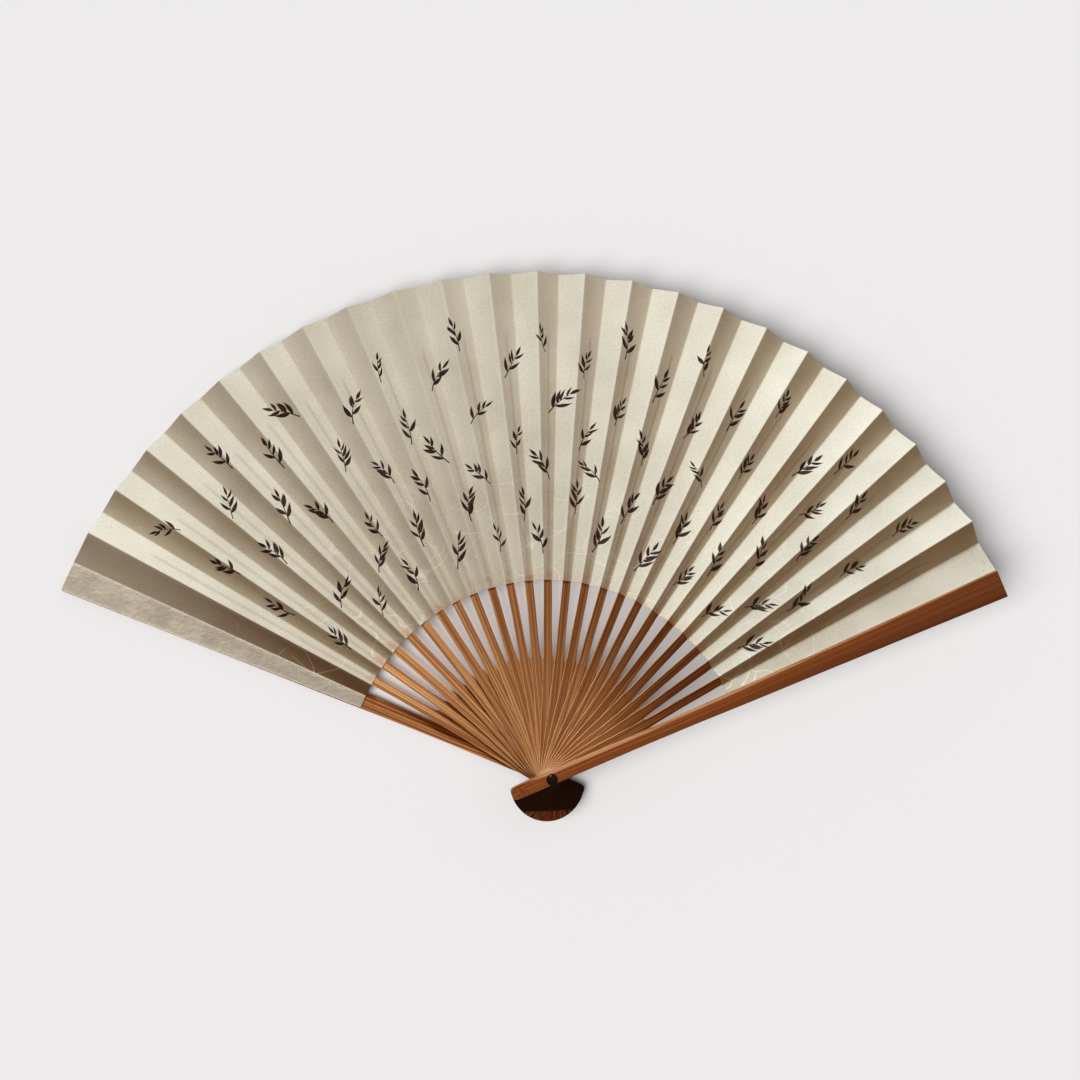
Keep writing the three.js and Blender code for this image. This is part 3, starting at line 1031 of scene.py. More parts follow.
@dataclass(frozen=True)
class FloorFinish:
    """A pale seamless floor that keeps the fan's shadow, and can't be seen from below."""

    name: str = "Pale floor"
    colour: Colour = tone(237, 235, 235)
    lift: float = 0.02

    def material(self) -> bpy.types.Material:
        """Builds the material."""
        material = bpy.data.materials.new(self.name)
        material.use_nodes = True
        bench = Bench(material.node_tree)
        matt = bench.add("ShaderNodeBsdfDiffuse", {"Color": self.colour}).outputs[0]
        strength = bench.times(bench.seen_by("Is Camera Ray", "Is Glossy Ray"), self.lift)
        glow = bench.add("ShaderNodeEmission", {"Color": self.colour, "Strength": strength}).outputs[0]
        both = bench.add("ShaderNodeAddShader", {0: matt, 1: glow}).outputs[0]
        clear = bench.add("ShaderNodeBsdfTransparent").outputs[0]
        under = bench.add("ShaderNodeNewGeometry").outputs["Backfacing"]
        sided = bench.add("ShaderNodeMixShader", {0: under, 1: both, 2: clear}).outputs[0]
        bench.add("ShaderNodeOutputMaterial", {"Surface": sided})
        return material


# Sub-assemblies


@dataclass
class Assembly:
    """What every sub-assembly shares: the fan's layout and the pieces it has made."""

    layout: Layout
    made: list[bpy.types.Object] = field(default_factory=list, init=False)

    def fit(
        self,
        name: str,
        mesh: bpy.types.Mesh,
        place: Matrix,
        materials: Sequence[bpy.types.Material],
        body: str,
        stands_for: Sequence[str],
        slot: Slot,
    ) -> bpy.types.Object:
        """Makes a piece, dresses it and hangs it on its body.

        Args:
            name: The piece's name.
            mesh: Its mesh.
            place: From the mesh's frame to the fan's.
            materials: Its materials, in the order of the mesh's material numbers.
            body: The body that it moves with.
            stands_for: The solids that it stands for.
            slot: Not used.

        Returns:
            The piece.
        """
        piece = placed(name, mesh)
        piece.matrix_world = place
        for material in materials:
            mesh.materials.append(material)
        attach(piece, body)
        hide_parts(*stands_for)
        self.made.append(piece)
        LOG.info("%s: %d faces on %s", name, len(mesh.polygons), body)
        return piece


# Rounded end of every head: how far along, as a share of the head's reach, and its half width
HEAD_END = (
    *((1.0, 0.0), (0.999, 0.25), (0.994, 0.5), (0.986, 0.68)),
    *((0.962, 0.84), (0.92, 0.93), (0.85, 0.967), (0.5, 1.0)),
)


@dataclass
class Ribs(Assembly):
    """Twenty-three split bamboo ribs: flat at the pin, turned to their pleats at the leaf."""

    finish: Bamboo
    thickness: float = 0.55 * MM
    slip_thickness: float = 0.25 * MM
    head_reach: float = 17.3 * MM
    head_half: float = 3.5 * MM
    shoulder: float = 83.5 * MM
    slip_start: float = 92.0 * MM
    slip_half: float = 0.6 * MM
    tip: float = 184.0 * MM
    tip_half: float = 0.45 * MM
    split: float = 79.5 * MM
    shoulder_drift: float = 3.2 * MM
    left_trim: float = 0.14
    trim_starts: tuple[float, float] = (15 * MM, 36 * MM)
    trim_ends: tuple[float, float] = (49.5 * MM, 46.5 * MM)
    waver: float = 0.06 * MM
    waver_starts: tuple[float, float] = (18 * MM, 40 * MM)
    waver_end: float = 64 * MM
    shoulder_spread: float = 1.1 * MM
    hole: float = 1.58 * MM
    round: float = 0.16 * MM
    # Share of the shoulder's distance, and share of the head's half width
    blade: tuple[tuple[float, float], ...] = (
        (0.06, 1.0),
        (0.15, 0.96),
        (0.24, 0.91),
        (0.33, 0.86),
        (0.42, 0.81),
        (0.51, 0.76),
        (0.56, 0.735),
        (0.573, 0.72),
        (0.592, 0.58),
        (0.605, 0.565),
        (0.65, 0.54),
        (0.72, 0.527),
        (0.8, 0.53),
        (0.88, 0.537),
        (1.0, 0.527),
    )

    def outline(self) -> np.ndarray:
        """Distance from the pin and half width, from the end of the head to the rib's tip."""
        knots = [(-self.head_reach * along, self.head_half * wide) for along, wide in HEAD_END]
        knots += [(self.shoulder * along, self.head_half * wide) for along, wide in self.blade]
        knots += [(self.slip_start, self.slip_half), (self.tip, self.tip_half)]
        return smooth_rows(np.array(knots), 4)

    def _section(self, reach: float, half: float) -> np.ndarray:
        """One cross section, with its upper edges rounded.

        Args:
            reach: Distance from the pin.
            half: Half width there.

        Returns:
            Twelve points.
        """
        thick = self.thickness + (self.slip_thickness - self.thickness) * float(
            ease(self.shoulder, self.slip_start, reach)
        )
        top = self.thickness / 2
        bottom = top - thick
        r = min(self.round, half * 0.45, thick * 0.4)
        side = [(-half, bottom + r / 2), (-half, top - r), (-half + r * 0.3, top - r * 0.3), (-half + r, top)]
        profile = [(-half + r / 2, bottom), *side, (-half + max(1.1 * r, min(0.36 * MM, half * 0.7)), top)]
        trim = half * (1 - float(self._left_share(reach)))
        profile += [(-y - trim, z) for y, z in profile[::-1]]
        tilt = float(self.layout.twist(reach))
        return np.array([(reach, y, z + tilt * y) for y, z in profile])

    def _left_share(self, reach: np.ndarray | float) -> np.ndarray | float:
        """Half width of the left side between head and shoulder, as a share of the right side's."""
        return 1 - self.left_trim * ease(*self.trim_starts, reach) * ease(*self.trim_ends, reach)

    def _rows(self, start: float, end: float) -> np.ndarray:
        """Outline rows between two distances, ends included."""
        rows = self.outline()
        between = rows[(rows[:, 0] > start + 1e-6) & (rows[:, 0] < end - 1e-6)]
        return np.vstack([(start, self.half_at(start)), between, (end, self.half_at(end))])

    def half_at(self, reach: np.ndarray | float) -> np.ndarray | float:
        """Half width at each distance from the pin."""
        rows = self.outline()
        return np.interp(reach, rows[:, 0], rows[:, 1])

    def _toned(self, draft: Draft, seed: float, pale: float, deg: float) -> Draft:
        """Adds what the finish reads from the mesh.

        Args:
            draft: The piece.
            seed: The rib's own number, 0 to 1.
            pale: How pale it is painted, 0 to 1: partly its own tone, partly painted light.
            deg: Where the rib points.

        Returns:
            The same piece.
        """
        x, y = draft.points[:, 0], draft.points[:, 1]
        half = self.half_at(x) * np.where(y > 0, self._left_share(x), 1.0)
        # Painted highlight: the rim is four times as strong along the left edge, where the light catches it,
        # as along the right edge.
        edge = ease(0.3 * MM, 0.05 * MM, half - np.abs(y)) * np.where(y > 0, 1.0, 0.25)
        turn = math.radians(deg)
        draft.tones = {"rim": edge, "dyed": np.ones(len(x)), "up": x * math.sin(turn) + y * math.cos(turn)}
        draft.tones["stick"] = np.full(len(x), seed)
        # The outer ribs are painted paler near the pin.
        draft.tones["pale"] = pale + 0.2 * abs(deg - self.layout.middle_deg) / 60 * ease(62 * MM, 36 * MM, x)
        return draft

    def build(self) -> None:
        """Builds every rib: the stick that turns on the pin and its slip inside the leaf."""
        material = self.finish.material()
        rng = np.random.default_rng(41)
        middle = (self.layout.rib_count + 1) / 2
        rows = self._rows(-self.head_reach + 1e-5, self.split)
        rows[0, 1] = 0.3 * MM
        blank = drilled(loft(np.array([self._section(x, h) for x, h in rows])), self.hole, 30)
        slip = loft(np.array([self._section(x, h) for x, h in self._rows(self.split, self.tip)]))
        for n in range(1, self.layout.rib_count + 1):
            seed = float(rng.random())
            # Painted light: the ribs run from pale on the left to dark on the right, as the light falls on
            # them, with a random tone of their own.
            pale = float(np.clip(0.5 - 0.055 * (n - middle) + rng.uniform(-0.12, 0.12), 0, 1))
            sway = rng.uniform(-1, 1, 4)
            deg = self.layout.rib_deg(n)
            place = turned(deg, self.layout.rib_z(n))
            stick = self._toned(Draft(blank.points.copy(), blank.faces), seed, pale, deg)
            x = stick.points[:, 0].copy()
            free = ease(*self.waver_starts, x) * ease(self.split, self.waver_end, x)
            stick.points[:, 1] += self.waver * free * np.sin(x * 140 + sway[0] * 6)
            drift = self.shoulder_drift * (middle - n) / (middle - 1) + self.shoulder_spread * sway[1]
            stick.points[:, 0] += free * drift
            number = f"{n:02d}"
            node, joint = f"rib_{number}", f"rib_{number}_turn"
            mesh = stick.mesh(f"rib_stick_{number}", 28)
            self.fit(f"rib_stick_{number}", mesh, place, [material], node, [node], Slot.RIB)
            inner = self._toned(Draft(slip.points.copy(), slip.faces), seed, pale, deg)
            mesh = inner.mesh(f"rib_slip_{number}", 28)
            piece = self.fit(f"rib_slip_{number}", mesh, place, [material], node, [node], Slot.RIB)
            level = self.layout.rib_z(n) + self.layout.paper_over_rib
            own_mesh(piece)


@dataclass
class Guards(Assembly):
    """The two guard sticks, one turned over on the other."""

    skin: GuardSkin
    cut: Bamboo
    pith: Bamboo
    reach: float = 209.5 * MM
    head_reach: float = 17.3 * MM
    head_inner: float = 3.6 * MM
    head_outer: float = 2.1 * MM
    tip_half: float = 6.07 * MM
    head_bottom: float = 1.3 * MM
    head_top: float = 3.4 * MM
    relief: float = 1.2 * MM
    relief_start: float = 22 * MM
    relief_end: float = 46 * MM
    blade_start: float = 60 * MM
    bevel_head: float = 1.5 * MM
    bevel_tip: float = 0.5 * MM
    bevel_grows: tuple[float, float] = (-14 * MM, 2 * MM)
    edge: float = 0.25 * MM
    pale_grows: tuple[float, float] = (16 * MM, 34 * MM)
    hole: float = 1.58 * MM
    # Share of the reach, then shares of the way from the head's half width to the tip's
    blade: tuple[tuple[float, float, float], ...] = (
        (0.0, 0.0, 0.0),
        (0.06, -0.04, 0.02),
        (0.12, -0.1, 0.04),
        (0.2, -0.12, 0.05),
        (0.24, -0.1, 0.08),
        (0.31, -0.04, 0.14),
        (0.38, 0.03, 0.24),
        (0.46, 0.11, 0.34),
        (0.56, 0.23, 0.45),
        (0.66, 0.38, 0.57),
        (0.76, 0.54, 0.69),
        (0.88, 0.77, 0.85),
        (1.0, 1.0, 1.0),
    )

    def outline(self) -> np.ndarray:
        """Distance from the pin and the half widths of the inner and the outer side."""
        knots = [(-self.head_reach * a, self.head_inner * w, self.head_outer * w) for a, w in HEAD_END]
        for along, inner, outer in self.blade:
            knots.append(
                (
                    self.reach * along,
                    self.head_inner + (self.tip_half - self.head_inner) * inner,
                    self.head_outer + (self.tip_half - self.head_outer) * outer,
                )
            )
        return smooth_rows(np.array(knots), 5)

    def _section(self, reach: float, inner: float, outer: float) -> np.ndarray:
        """One cross section, resting face down and inner side at -Y.

        Args:
            reach: Distance from the pin.
            inner: Half width towards the fan's middle.
            outer: Half width towards the open end.

        Returns:
            The section's points.
        """
        bottom = self.head_bottom * (1 - float(ease(self.relief_start, self.blade_start, reach)))
        top = self.head_top - self.relief * float(ease(self.relief_start, self.relief_end, reach))
        along = min(max(reach / self.reach, 0.0), 1.0)
        narrow = min(1.0, (inner + outer) / (3 * MM))
        bevel = (self.bevel_head + (self.bevel_tip - self.bevel_head) * along) * narrow
        bevel *= 0.3 + 0.7 * float(ease(*self.bevel_grows, reach))
        e, s, w = self.edge * narrow, 0.12 * MM * narrow, 0.35 * MM * narrow
        corners = [
            (-inner, top - s),
            (-inner + s, top),
            (-inner + s + w, top),
            (outer - s - w, top),
            (outer - s, top),
            (outer - s * 0.3, top - s * 0.3),
            (outer, top - s),
            (outer, bottom + e),
            (outer - e * 0.3, bottom + e * 0.3),
            (outer - e, bottom),
            (outer - e - w, bottom),
            (-inner + bevel + s + w, bottom),
            (-inner + bevel + s, bottom),
            (-inner + bevel - s * 0.25, bottom + s * 0.2),
            (-inner + s * 0.4, bottom + bevel - s * 0.7),
            (-inner, bottom + bevel + s * 0.4),
        ]
        return np.array([(reach, y, z) for y, z in corners])

    def build(self) -> None:
        """Builds both guard sticks."""
        finishes = [self.skin.material(), self.cut.material(), self.pith.material()]
        rows = self.outline()
        rows[0, 1:] = 0.3 * MM
        blank = drilled(loft(np.array([self._section(*row) for row in rows])), self.hole, 30)
        x, y, _ = blank.points.T
        inner, outer = (np.interp(x, rows[:, 0], rows[:, k]) for k in (1, 2))
        rim = ease(0.32 * MM, 0.04 * MM, np.minimum(y + inner, outer - y))
        shade = np.maximum(
            ease(-0.4, 1.0, y / np.maximum(outer, 1e-6)) * ease(0.0, 0.16, x), 0.42 * ease(0.1, 0.23, x)
        )
        for side in Side:
            over = side is Side.FRONT
            draft = Draft(blank.points.copy(), blank.faces)
            draft.tones = {
                "rim": rim,
                "shade": shade,
                "stick": np.full(len(x), 0.31 if over else 0.72),
                "dyed": np.full(len(x), 0.0 if over else 1.0),
                "pale": 0.32 + 0.66 * ease(*self.pale_grows, x) * (0.15 if over else 1.0),
                "up": np.zeros(len(x)),
            }
            draft.slots = self._grain_side(draft)
            name = f"{side.value}_guard"
            place = turned(self.layout.guard_deg(side), self.layout.fan_top if over else 0.0, over)
            mesh = draft.mesh(name, 24)
            self.fit(f"guard_stick_{side.value}", mesh, place, finishes, name, [name], Slot.GUARD)

    def _grain_side(self, draft: Draft) -> np.ndarray:
        """Which finish each face shows: 0 the skin, 1 the cut sides, 2 the pith side."""
        shown = []
        for face in draft.faces:
            a, b, c = (draft.points[k] for k in face[:3])
            normal = np.cross(b - a, c - a)
            up = normal[2] / max(float(np.linalg.norm(normal)), 1e-12)
            shown.append(0 if up < -0.9 else 2 if up > 0.9 else 1)
        return np.array(shown, np.int32)


@dataclass
class Pin(Assembly):
    """The horn pin: a flat foot, a shank and a domed head."""

    finish: Horn
    shank: float = 1.5 * MM
    head: float = 2.35 * MM
    dome: float = 1.15 * MM
    head_rim: float = 0.1 * MM
    foot_edge: float = 0.25 * MM
    recess: float = 1.3 * MM

    def build(self) -> None:
        """Turns the pin about its axis."""
        top = self.layout.fan_top - self.recess
        profile = [(self.head - self.foot_edge, 0.0)]
        profile += [
            (self.head - self.foot_edge * (1 - math.sin(a)), self.foot_edge * (1 - math.cos(a)))
            for a in np.linspace(0.4, math.pi / 2, 4)
        ]
        profile += [(self.head, self.recess * 0.97), (self.head - 0.03 * MM, self.recess)]
        profile.append((self.shank, self.recess))
        profile += [(self.shank, top), (self.head - 0.03 * MM, top), (self.head, top + 0.04 * MM)]
        for share in np.linspace(1.0, 0.03, 18):
            lift = self.head_rim + (self.dome - self.head_rim) * (1 - share**2.2)
            profile.append((self.head * share, top + lift))
        turns = np.linspace(0, 2 * math.pi, 72, endpoint=False)
        rings = np.array([[(r * math.cos(t), r * math.sin(t), z) for t in turns] for r, z in profile])
        draft = loft(rings)
        draft.tones = {"stick": np.full(len(draft.points), 0.5)}
        mesh = draft.mesh("pivot_pin", 40)
        still, horn = Matrix.Identity(4), self.finish.material()
        self.fit("horn_pin", mesh, still, [horn], "back_guard", ["pivot_pin"], Slot.PIN)


@dataclass
class Sprigs:
    """Sprigs of ink leaves, scattered over the leaf in staggered rows."""

    layout: Layout
    rows: tuple[tuple[float, ...], ...] = ((0.099, 0.127, 0.155, 0.183), (0.113, 0.141, 0.169))
    first_deg: float = 146.5
    last_deg: float = 34.0
    column_deg: float = 5.6
    tall: float = 13.0 * MM
    apart: float = 12.5 * MM

    def _bent(self, start: np.ndarray, heading: float, length: float, bend: float, count: int) -> np.ndarray:
        """Points along a gently bent line.

        Args:
            start: Its first point.
            heading: Its first direction, in radians.
            length: Its length.
            bend: How far it turns on the way, in radians.
            count: How many points it has.

        Returns:
            The points.
        """
        turns = heading + bend * np.linspace(0, 1, count - 1)
        steps = np.column_stack([np.cos(turns), np.sin(turns)]) * length / (count - 1)
        return np.vstack([start, start + np.cumsum(steps, axis=0)])

    def _mark(self, line: np.ndarray, widths: np.ndarray) -> Stroke:
        """A brush mark along a line, with a half width at each of its points."""
        along = np.gradient(line, axis=0)
        along /= np.linalg.norm(along, axis=1)[:, None]
        side = np.column_stack([-along[:, 1], along[:, 0]]) * widths[:, None]
        return Stroke(np.vstack([line + side, (line - side)[::-1]]))

    def _sprig(self, root: np.ndarray, heading: float, size: float, rng: np.random.Generator) -> list[Stroke]:
        """One sprig: a thin bent stem with leaves to both sides.

        Args:
            root: Where its stem starts.
            heading: The stem's direction, in radians.
            size: Its size, as a share of the usual one.
            rng: Source of its small differences.

        Returns:
            Its brush marks.
        """
        tall = self.tall * size
        bend = rng.uniform(-0.7, 0.7)
        stem = self._bent(root, heading, tall * 0.8, bend, 9)
        marks = [self._mark(stem, np.linspace(0.24, 0.1, 9) * MM * size)]
        side = 1 if rng.random() < 0.5 else -1
        count = int(rng.integers(4, 7))
        for k, t in enumerate(np.linspace(0.22, 0.92, count)):
            at = stem[int(round(t * 8))]
            turn = heading + bend * t
            length = tall * rng.uniform(0.42, 0.54) * (1.0 - 0.35 * t)
            lean = side * rng.uniform(0.55, 0.95)
            marks.append(self._leaf(at, turn + lean, length, -lean * 0.5, rng))
            side = -side if k % 3 != 2 else side
        marks.append(self._leaf(stem[-1], heading + bend, tall * 0.34, rng.uniform(-0.3, 0.3), rng))
        return marks

    def _leaf(
        self, at: np.ndarray, heading: float, length: float, bend: float, rng: np.random.Generator
    ) -> Stroke:
        """One leaf: narrow at its stalk, widest before the middle, and drawn out to a point."""
        line = self._bent(at, heading, length, bend, 11)
        t = np.linspace(0, 1, 11)
        wide = length * rng.uniform(0.105, 0.15)
        return self._mark(line, np.maximum(wide * np.sin(math.pi * t**0.75) ** 1.15, 0.03 * MM))

    def strokes(self) -> list[Stroke]:
        """Every brush mark on the leaf."""
        rng = np.random.default_rng(7)
        found: list[Stroke] = []
        middles: list[np.ndarray] = []
        columns = int((self.first_deg - self.last_deg) / self.column_deg) + 1
        for column in range(columns):
            for row, reach in enumerate(self.rows[column % 2]):
                deg = math.radians(self.first_deg - column * self.column_deg + rng.uniform(-0.9, 0.9))
                r = reach + rng.uniform(-2.5, 2.5) * MM - self.tall * 0.4
                root = np.array([r * math.cos(deg), r * math.sin(deg)])
                lean = rng.uniform(-0.45, 0.45) + (0.25 if row % 2 else -0.25)
                size = rng.uniform(0.85, 1.15)
                heading = deg + lean
                middle = root + 0.5 * self.tall * np.array([math.cos(heading), math.sin(heading)])
                if all(np.linalg.norm(middle - other) > self.apart for other in middles):
                    middles.append(middle)
                    found += self._sprig(root, heading, size, rng)
        return found


@dataclass
class Leaf(Assembly):
    """The pleated leaf: a panel on each rib, a panel between each two, and the pasted ends."""

    paper: Paper
    guard_paper: Paper
    ink: Ink
    ribs: Ribs
    fold_round: float = 0.4 * MM
    valley_round: float = 0.32 * MM
    web_round: float = 0.3 * MM
    web_bow: float = 0.16
    rib_bow: float = 0.09
    emboss: float = 0.06 * MM
    sway: float = 0.12 * MM
    blister: float = 0.05 * MM
    wrap_deep: float = 0.66 * MM
    wrap_thin: float = 0.4 * MM
    wrap_thins: tuple[float, float] = (83 * MM, 92 * MM)
    free_half: tuple[float, float] = (2.8 * MM, 6.0 * MM)
    spotted: tuple[float, float] = (184 * MM, 206 * MM)
    keep: float = 0.05

    def _panel(self, left: Crease, right: Crease, rib: bool, seed: int) -> tuple[Sheet, float]:
        """One panel between two folds.

        Args:
            left: The fold on its left, seen from the pin.
            right: The fold on its right.
            rib: Whether it holds a rib's slip between its layers.
            seed: Number of its small waves.

        Returns:
            The panel and the direction in which its frame points.
        """
        layout = self.layout
        half = math.radians(left.deg - right.deg) / 2
        near, far = (r * math.cos(half) for r in (layout.leaf_inner, layout.leaf_outer))
        rng = np.random.default_rng(seed)
        phase, pace = rng.uniform(0, 6.3, 3), rng.uniform(45, 120, 3)

        def share(x: np.ndarray, y: np.ndarray) -> np.ndarray:
            """Place between the folds, -1 to 1, rounded at each fold and bowed between them."""
            wide = x * math.tan(half)
            s = np.clip(y / wide, -1, 1)
            soft = np.minimum((self.valley_round if rib else self.web_round) / wide, 0.45)
            sharp = np.minimum(self.fold_round / wide, 0.45)
            a, b = (sharp, soft) if rib else (soft, sharp)
            m = 2 / (2 - a / 2 - b / 2)
            out = 1 - m * (a / 2 + 1 - a - s)
            out = np.where(s > 1 - a, 1 - m * (1 - s) ** 2 / (2 * a), out)
            out = np.where(s < b - 1, m * (1 + s) ** 2 / (2 * b) - 1, out)
            return out + (-self.rib_bow if rib else self.web_bow) * (1 - s**2)

        def under(x: np.ndarray, y: np.ndarray) -> np.ndarray:
            """The plain underside, with the slow waves that the paper has taken."""
            reach = x / math.cos(half)
            high, low = left.height(reach), right.height(reach)
            s = y / (x * math.tan(half))
            calm = (1 - np.clip(s, -1, 1) ** 2) ** 2
            wave = sum(np.sin(x * p + y * 160 + q) for p, q in zip(pace, phase, strict=True)) / 3
            return (high + low) / 2 + (high - low) / 2 * share(x, y) + self.sway * calm * wave

        def bell(y: np.ndarray, core: np.ndarray | float, soft: float) -> np.ndarray:
            """1 within a core of the middle line, easing to 0 outside it."""
            return ease(core + soft, core, np.abs(y))

        def top(x: np.ndarray, y: np.ndarray) -> np.ndarray:
            """The upper face, raised over the slip."""
            over = self.emboss * bell(y, 0.3 * MM, 0.55 * MM) * ease(185.5 * MM, 183 * MM, x) if rib else 0.0
            return under(x, y) + layout.paper + over

        def bottom(x: np.ndarray, y: np.ndarray) -> np.ndarray:
            """The lower face, which wraps the rib."""
            if not rib:
                return under(x, y)
            width = self.ribs.half_at(x)
            deep = self.wrap_deep + (self.wrap_thin - self.wrap_deep) * ease(*self.wrap_thins, x)
            s = np.clip(y / (x * math.tan(half)), -1, 1)
            wrap = bell(y, width + 0.05 * MM, 0.5 * MM) * ease(187 * MM, 184 * MM, x) * (1 - s**8)
            return under(x, y) - deep * wrap

        def columns(low: float, high: float) -> list[float]:
            """Where the panel's lines run: close at the folds and over the slip."""
            edge = [0.0, 0.12 * MM, 0.25 * MM, self.fold_round]
            middle = [0.0, 0.3 * MM, 0.45 * MM, 0.6 * MM, 0.75 * MM, 0.95 * MM, 1.2 * MM] if rib else [0.0]
            reach = (high - low) / 2
            outer = [reach - e for e in edge][::-1]
            gap = outer[0] - middle[-1]
            between = [middle[-1] + gap * t for t in ((1 / 3, 2 / 3) if rib else (0.25, 0.5, 0.75))]
            right_half = middle[1:] + between + outer
            centre = (high + low) / 2
            return [centre - d for d in right_half[::-1]] + [centre] + [centre + d for d in right_half]

        edges = (near * math.tan(half), far * math.tan(half))
        sheet = Sheet(near, far, edges, (-edges[0], -edges[1]), columns, top, bottom)
        return sheet, (left.deg + right.deg) / 2

    def _end(self, side: Side) -> tuple[Sheet, float]:
        """The paper pasted to a guard stick's inner face.

        Args:
            side: Which guard stick.

        Returns:
            The sheet and the direction in which its frame points.
        """
        layout = self.layout
        level, turn = layout.guard_paper_z(side), math.radians(layout.guard_crease_deg)
        free = self.free_half
        fold = tuple(r * math.sin(turn) for r in (layout.leaf_inner, layout.leaf_outer))
        near, far = layout.leaf_inner * math.cos(turn), layout.leaf_outer * math.cos(turn)
        back = side is Side.BACK
        left, right = (free, (-fold[0], -fold[1])) if back else (fold, (-free[0], -free[1]))

        def blister(x: np.ndarray, y: np.ndarray) -> np.ndarray:
            """Small wrinkles where the paste has dried."""
            span = free[0] + (free[1] - free[0]) * (x - near) / (far - near)
            calm = ease(0.0, 1.2 * MM, span - np.abs(y))
            wave = np.sin(x * 310 + y * 700) * np.sin(x * 90 - y * 420 + 1.3) + 0.5 * np.sin(x * 57 + 2.0)
            return self.blister * calm * wave

        def top(x: np.ndarray, y: np.ndarray) -> np.ndarray:
            """The upper face."""
            return level + layout.paper + (blister(x, y) if back else 0 * x)

        def bottom(x: np.ndarray, y: np.ndarray) -> np.ndarray:
            """The lower face."""
            return level + (0 * x if back else -blister(x, y))

        def columns(low: float, high: float) -> list[float]:
            """Even lines along the sheet."""
            return list(np.linspace(low, high, 12))

        return Sheet(near, far, left, right, columns, top, bottom), layout.guard_deg(side)

    def build(self) -> None:
        """Builds every panel, with the ink in it."""
        layout = self.layout
        paper, ink, pasted = self.paper.material(), self.ink.material(), self.guard_paper.material()
        marks = Sprigs(layout).strokes()
        last = layout.rib_count + 1
        panels = [(n, True, layout.mountain(n), layout.valley(n)) for n in range(1, last)]
        for n in range(1, last + 1):
            left = layout.guard_fold(Side.BACK) if n == 1 else layout.valley(n - 1)
            right = layout.guard_fold(Side.FRONT) if n == last else layout.mountain(n)
            panels.append((n, False, left, right))
        for n, rib, left, right in panels:
            number, fold = f"{n:02d}", f"leaf_fold_{n:02d}"
            sheet, deg = self._panel(left, right, rib, n if rib else 100 + n)
            name, body, joint, nodes = f"leaf_web_{number}", fold, f"fold_{number}_turn", [fold]
            if rib:
                name, body, joint = f"leaf_panel_{number}", f"rib_{number}", f"rib_{number}_turn"
                nodes = [fold, f"leaf_fold_{n + 1:02d}"]
            piece = self._hang(name, sheet, deg, marks, [paper, ink], body, nodes)
            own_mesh(piece)
        for side in Side:
            sheet, deg = self._end(side)
            node = f"leaf_end_{side.value}"
            body = f"{side.value}_guard"
            self._hang(f"guard_paper_{side.value}", sheet, deg, [], [pasted], body, [node])

    def _age(self, draft: Draft, body: str, deg: float) -> None:
        """Adds what the paper's finish reads from the mesh, painted shade among it, in the sheet's own frame.

        Args:
            draft: The sheet.
            body: The body that it is on.
            deg: Where the sheet points.
        """
        x, y, _ = draft.points.T
        inner = ease(self.layout.leaf_outer, self.layout.leaf_inner, x)
        on_rib = body.startswith("rib")
        slip = ease(1.0 * MM, 0.35 * MM, np.abs(y)) * ease(185 * MM, 182 * MM, x)
        draft.tones["slip"] = slip * on_rib
        draft.tones["glued"] = np.full(len(x), 0.9 if on_rib else 0.2)
        if body.startswith(("rib", "leaf")):
            draft.tones["fold"] = draft.tones["fold"] * ((y > 0) == on_rib)
        # Painted shade, as browner paper: the fold beside the back guard, the panel on the last rib, a little
        # on the fold beside the front guard, and every rib panel towards the inner edge.
        amount = {"leaf_fold_01": (0.45, 0.5), "leaf_fold_24": (0.08, 0.0), "rib_23": (0.15, 0.35)}
        outer_share, more = amount.get(body, (0.0, 0.12 if on_rib else 0.0))
        draft.tones["painted_shade_brown"] = outer_share + more * inner
        # Painted shade: every sheet that points below 55 degrees, on the right side of the fan, is darkened
        # towards black.
        draft.tones["painted_shade"] = np.full(len(x), 0.17 * float(ease(55.0, 33.0, deg)))
        draft.tones["spotted"] = ease(*self.spotted, x) * (body == "leaf_fold_24") * 0.6

    def _hang(
        self,
        name: str,
        sheet: Sheet,
        deg: float,
        marks: Sequence[Stroke],
        materials: Sequence[bpy.types.Material],
        body: str,
        nodes: Sequence[str],
    ) -> bpy.types.Object:
        """Builds a sheet in the fan's frame and hangs it on its body.

        Args:
            name: The piece's name.
            sheet: The sheet, in its own frame.
            deg: Where that frame points.
            marks: Every brush mark on the leaf.
            materials: The paper, and the ink where it has any.
            body: The body that it moves with.
            nodes: The solids that it stands for.

        Returns:
            The piece.
        """
        draft = sheet.draft([mark.seen_from(deg) for mark in marks])
        self._age(draft, body, deg)
        turn = np.array(Matrix.Rotation(math.radians(deg), 3, "Z"))
        draft.points = draft.points @ turn.T
        slot = Slot.LEAF if body.startswith(("rib", "leaf")) else Slot.GUARD_PAPER
        return self.fit(name, draft.mesh(name, 50), Matrix.Identity(4), materials, body, nodes, slot)


@dataclass(frozen=True)
class Lamp:
    """A distant lamp: where it stands, how wide it looks, its strength and what it lights."""

    name: str
    azimuth_deg: float
    height_deg: float
    softness_deg: float
    strength: float
    colour: tuple[float, float, float] = (1.0, 1.0, 1.0)
    on_floor: bool = False

    def place(self, receivers: bpy.types.Collection) -> None:
        """Hangs the lamp.

        Args:
            receivers: What it lights.
        """
        lamp = bpy.data.lights.new(self.name, "SUN")
        lamp.energy, lamp.angle, lamp.color = self.strength, math.radians(self.softness_deg), self.colour
        stand = placed(self.name, lamp)
        a, e = math.radians(self.azimuth_deg), math.radians(self.height_deg)
        towards = Vector((math.cos(a) * math.cos(e), math.sin(a) * math.cos(e), math.sin(e)))
        stand.rotation_euler = towards.to_track_quat("Z", "Y").to_euler()
        stand.light_linking.receiver_collection = receivers


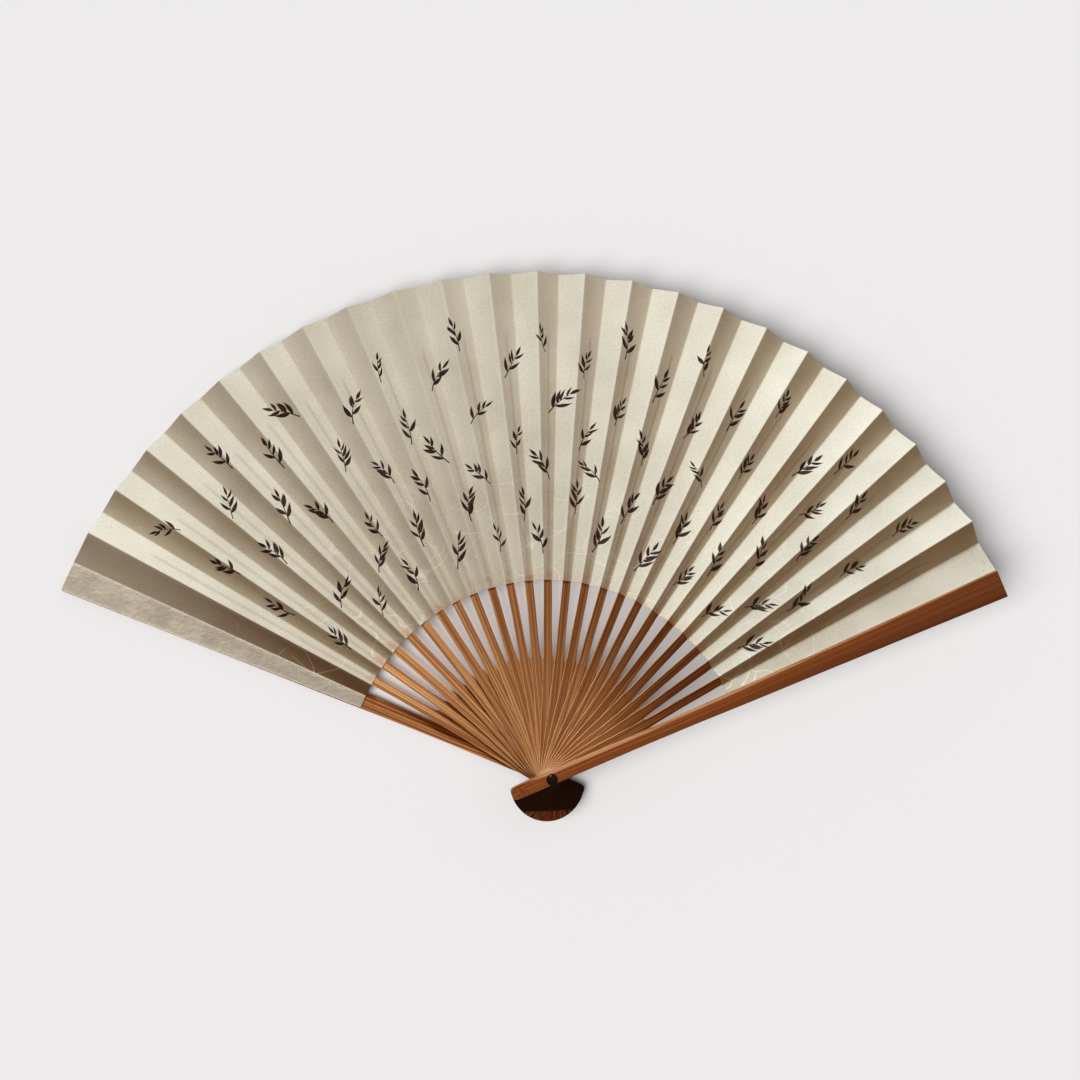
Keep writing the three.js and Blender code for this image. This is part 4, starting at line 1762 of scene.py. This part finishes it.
@dataclass
class Studio:
    """Camera, floor and soft light. The fan and the floor have lamps of their own."""

    camera_at: tuple[float, float, float] = (-0.12343, 0.03287, 0.75065)
    camera_turn_deg: tuple[float, float, float] = (4.955, -9.233, 0.0)
    field_deg: float = 33.05
    lamps: tuple[Lamp, ...] = (
        Lamp("key", 109.3, 27, 12, 3.68, (1.0, 1.1, 1.16)),
        Lamp("warm fill", 108, 80, 110, 0.78, (1.0, 0.54, 0.2)),
        Lamp("floor lamp", 207, 49.5, 46, 2.975, on_floor=True),
        Lamp("floor dome", 100, 88, 170, 0.753, on_floor=True),
    )
    fill_strength: float = 0.02
    backdrop: tuple[float, float, float, float] = tone(237, 235, 235)
    floor_half: float = 6.0

    def build(self) -> None:
        """Sets up the whole studio."""
        self._camera()
        floor = self._floor()
        groups = {on: self._receivers(floor, on) for on in (True, False)}
        for lamp in self.lamps:
            lamp.place(groups[lamp.on_floor])
        self._world()
        bpy.context.scene.view_settings.view_transform = "Standard"

    def _camera(self) -> None:
        """The camera, where the photograph was taken from."""
        lens = bpy.data.cameras.new("camera")
        lens.lens_unit = "FOV"
        lens.angle = math.radians(self.field_deg)
        camera = placed("camera", lens)
        camera.location = self.camera_at
        camera.rotation_euler = [math.radians(a) for a in self.camera_turn_deg]
        bpy.context.scene.camera = camera

    def _floor(self) -> bpy.types.Object:
        """A wide floor that the fan lies on."""
        side = np.linspace(-self.floor_half, self.floor_half, 25)
        points = np.array([(x, y, 0.0) for y in side for x in side])
        corners = [j * 25 + i for j in range(24) for i in range(24)]
        faces = [(at, at + 1, at + 26, at + 25) for at in corners]
        mesh = Draft(points, faces).mesh("floor", 30)
        mesh.materials.append(FloorFinish().material())
        floor = placed("floor", mesh)
        return floor

    def _receivers(self, floor: bpy.types.Object, on_floor: bool) -> bpy.types.Collection:
        """What a lamp lights.

        Args:
            floor: The floor.
            on_floor: Whether the lamp lights the floor alone, or all but the floor.

        Returns:
            The collection that says so.
        """
        group = bpy.data.collections.new("floor alone" if on_floor else "all but the floor")
        group.objects.link(floor)
        group.collection_objects[0].light_linking.link_state = "INCLUDE" if on_floor else "EXCLUDE"
        return group

    def _world(self) -> None:
        """Even fill light, with a pale backdrop where it is seen."""
        world = bpy.data.worlds.new("studio")
        world.use_nodes = True
        bench = Bench(world.node_tree)
        seen = bench.seen_by("Is Camera Ray", "Is Glossy Ray", "Is Transmission Ray")
        white = (1.0, 1.0, 1.0, 1.0)
        fill = bench.add("ShaderNodeBackground", {"Color": white, "Strength": self.fill_strength})
        back = bench.add("ShaderNodeBackground", {"Color": self.backdrop, "Strength": 1.0})
        both = bench.add("ShaderNodeMixShader", {0: seen, 1: fill.outputs[0], 2: back.outputs[0]})
        bench.add("ShaderNodeOutputWorld", {"Surface": both.outputs[0]})
        bpy.context.scene.world = world


def main() -> None:
    """Builds the fan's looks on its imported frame, piece by piece."""
    logging.basicConfig(level=logging.INFO, format="%(name)s: %(message)s")
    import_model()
    layout = Layout()
    ribs = Ribs(layout, Bamboo())
    pasted = Paper(
        name="Pasted paper",
        base=tone(214, 206, 190),
        aged=tone(190, 181, 166),
        fibre=tone(236, 230, 212),
        fibre_cover=0.2,
        crumple=520.0,
        crumple_depth=0.3 * MM,
        cloud_size=0.009,
        cloud_share=0.95,
        fold_light=0.8,
    )
    leaf = Leaf(layout, Paper(), pasted, Ink(), ribs)
    cut = Bamboo("Cut guard bamboo", tone(162, 111, 71), tone(136, 85, 49), depth=0.5, wear=0.2)
    pith = Bamboo("Guard pith", tone(184, 118, 66), tone(136, 76, 38), depth=0.5, wear=0.4)
    for part in (ribs, leaf, Guards(layout, GuardSkin(), cut, pith), Pin(layout, Horn())):
        part.build()
        LOG.info("%s: %d pieces", type(part).__name__, len(part.made))
    Studio().build()


if __name__ == "__main__":
    main()
